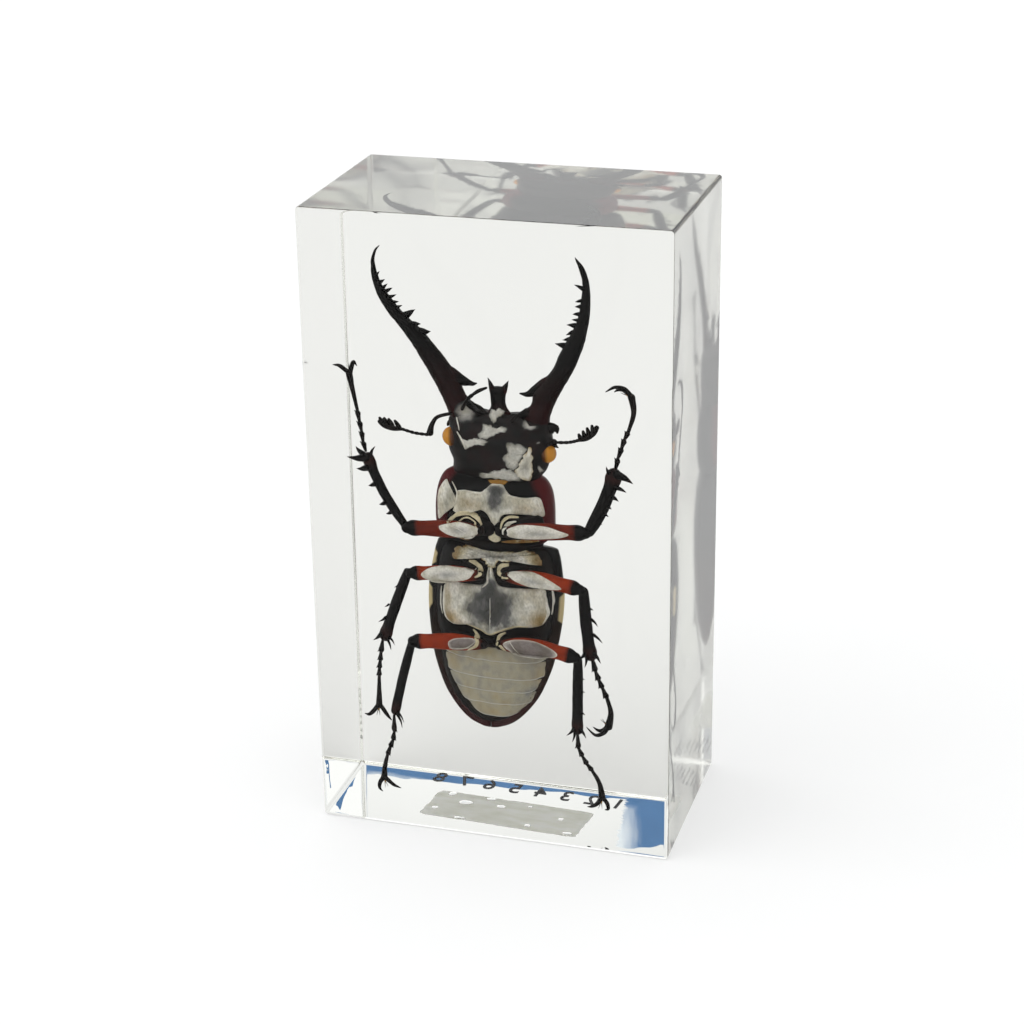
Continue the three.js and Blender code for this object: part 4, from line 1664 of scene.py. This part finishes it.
def under_base(x, y, z):
    """A place beside the label's middle, turned with it."""
    middle = (label_low + label_high) / 2
    return Matrix.Rotation(LABEL_TURN, 3, "Z") @ Vector((x, y, 0)) + Vector((middle.x, middle.y, z))


# Air trapped over the label: (x, y, half length, half depth) from its middle.
POCKETS = (
    (-8.4, 2.6, 1.3, 1.5), (-1.8, 3.4, 0.8, 0.9), (-11.8, 6.6, 0.7, 1.2), (5.2, -5.4, 0.6, 0.8),
    (9.8, 1.2, 0.5, 0.9), (-12.6, -3.0, 0.6, 1.0), (-4.6, 6.9, 0.9, 0.7), (12.7, -6.4, 0.8, 0.9),
    (3.0, 5.8, 0.5, 0.6), (-7.0, -6.9, 1.1, 0.6),
)
POCKET_SIDES = 20
# A pocket's section from below up: (share of its size, height over the label).
POCKET_SECTION = ((0.7, 0.01), (1.0, 0.02), (0.9, 0.05), (0.5, 0.06))
AIR_IN_RESIN = 1 / RESIN_IOR


def air_material():
    """A pocket of air seen from inside the resin: its index is less than the resin's, so it mirrors."""
    look = Look("trapped_air")
    colour = look.ramp(look.clouds(900), (0, (0.97, 0.97, 0.97)), (1, WHITE))
    look.set(Base_Color=colour, Roughness=0.1, IOR=AIR_IN_RESIN, Transmission_Weight=1)
    return look.material


def add_label():
    """The label and its glue, which wets the resin, so that the label is seen from inside the block."""
    top = label_high.z + LABEL_INSET
    rim = label_rim()
    rings = []
    upper_side = ((0.2, top), (0.6, top), (0.985, top), (1.0, top - 0.03))
    lower_side = ((1.0, 0.02), (0.985, 0.0), (0.5, 0.0))
    for share, z in upper_side + lower_side:
        rings.append([under_base(p.x * share, p.y * share, z) for p in rim])
    label = make_piece("label_stock", Form().skin(rings), label_material(), "label_stock")
    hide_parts("base_label")
    pockets = Form()
    for x, y, wide, deep in POCKETS:
        rings = []
        for share, lift in POCKET_SECTION:
            ring = []
            for turn in turns(POCKET_SIDES):
                across, along = math.cos(turn), math.sin(turn)
                reach = share * (1 + 0.35 * noise.noise((across, along, x)))
                ring.append(under_base(x + wide * reach * across, y + deep * reach * along, top + lift))
            rings.append(ring)
        pockets.skin(rings)
    make_piece("label_air_pockets", pockets, air_material(), SLOT_PALE)


NUMBER_COUNT = 8
NUMBER_STEP = 4.8
NUMBER_MIDDLE = (1.4, 12.2)
NUMBER_SIZE = 4.6
NUMBER_STRETCH = 1.75
NUMBER_TURN = math.radians(-4.5)
PRINT_Z = (0.12, 0.14)
PRINT_BOLD = 0.07


def print_material():
    """Dark printing ink, a little worn."""
    look = Look("print")
    ink = look.ramp(look.clouds(900, 3), (0.3, (0.01, 0.01, 0.02)), (0.8, (0.05, 0.05, 0.06)))
    look.set(Base_Color=ink, Roughness=0.6)
    return look.material


def add_numbers():
    """A row of plain numbers under the base, to be read from below, so they show mirrored from above."""
    material = print_material()
    turn = Matrix.Rotation(NUMBER_TURN, 3, "Z")
    flip = Matrix.Diagonal((-1, NUMBER_STRETCH, 1)).to_4x4()
    for k in range(NUMBER_COUNT):
        name = f"print_number_{k + 1}"
        curve = bpy.data.curves.new(name, "FONT")
        curve.body = str(k + 1)
        curve.align_x, curve.align_y = "CENTER", "CENTER"
        curve.size = NUMBER_SIZE * MM
        curve.offset = PRINT_BOLD * MM
        curve.extrude = (PRINT_Z[1] - PRINT_Z[0]) / 2 * MM
        text = bpy.data.objects.new(name, curve)
        mesh = bpy.data.meshes.new_from_object(text)
        bpy.data.objects.remove(text)
        along = NUMBER_STEP * ((NUMBER_COUNT - 1) / 2 - k)
        place = turn @ Vector((along, 0, 0)) + Vector((*NUMBER_MIDDLE, sum(PRINT_Z) / 2))
        mesh.transform(Matrix.Translation(place * MM) @ turn.to_4x4() @ flip)
        mesh.flip_normals()
        mesh.materials.clear()
        add_piece(name, mesh, material, SLOT_DARK)


add_label()
add_numbers()
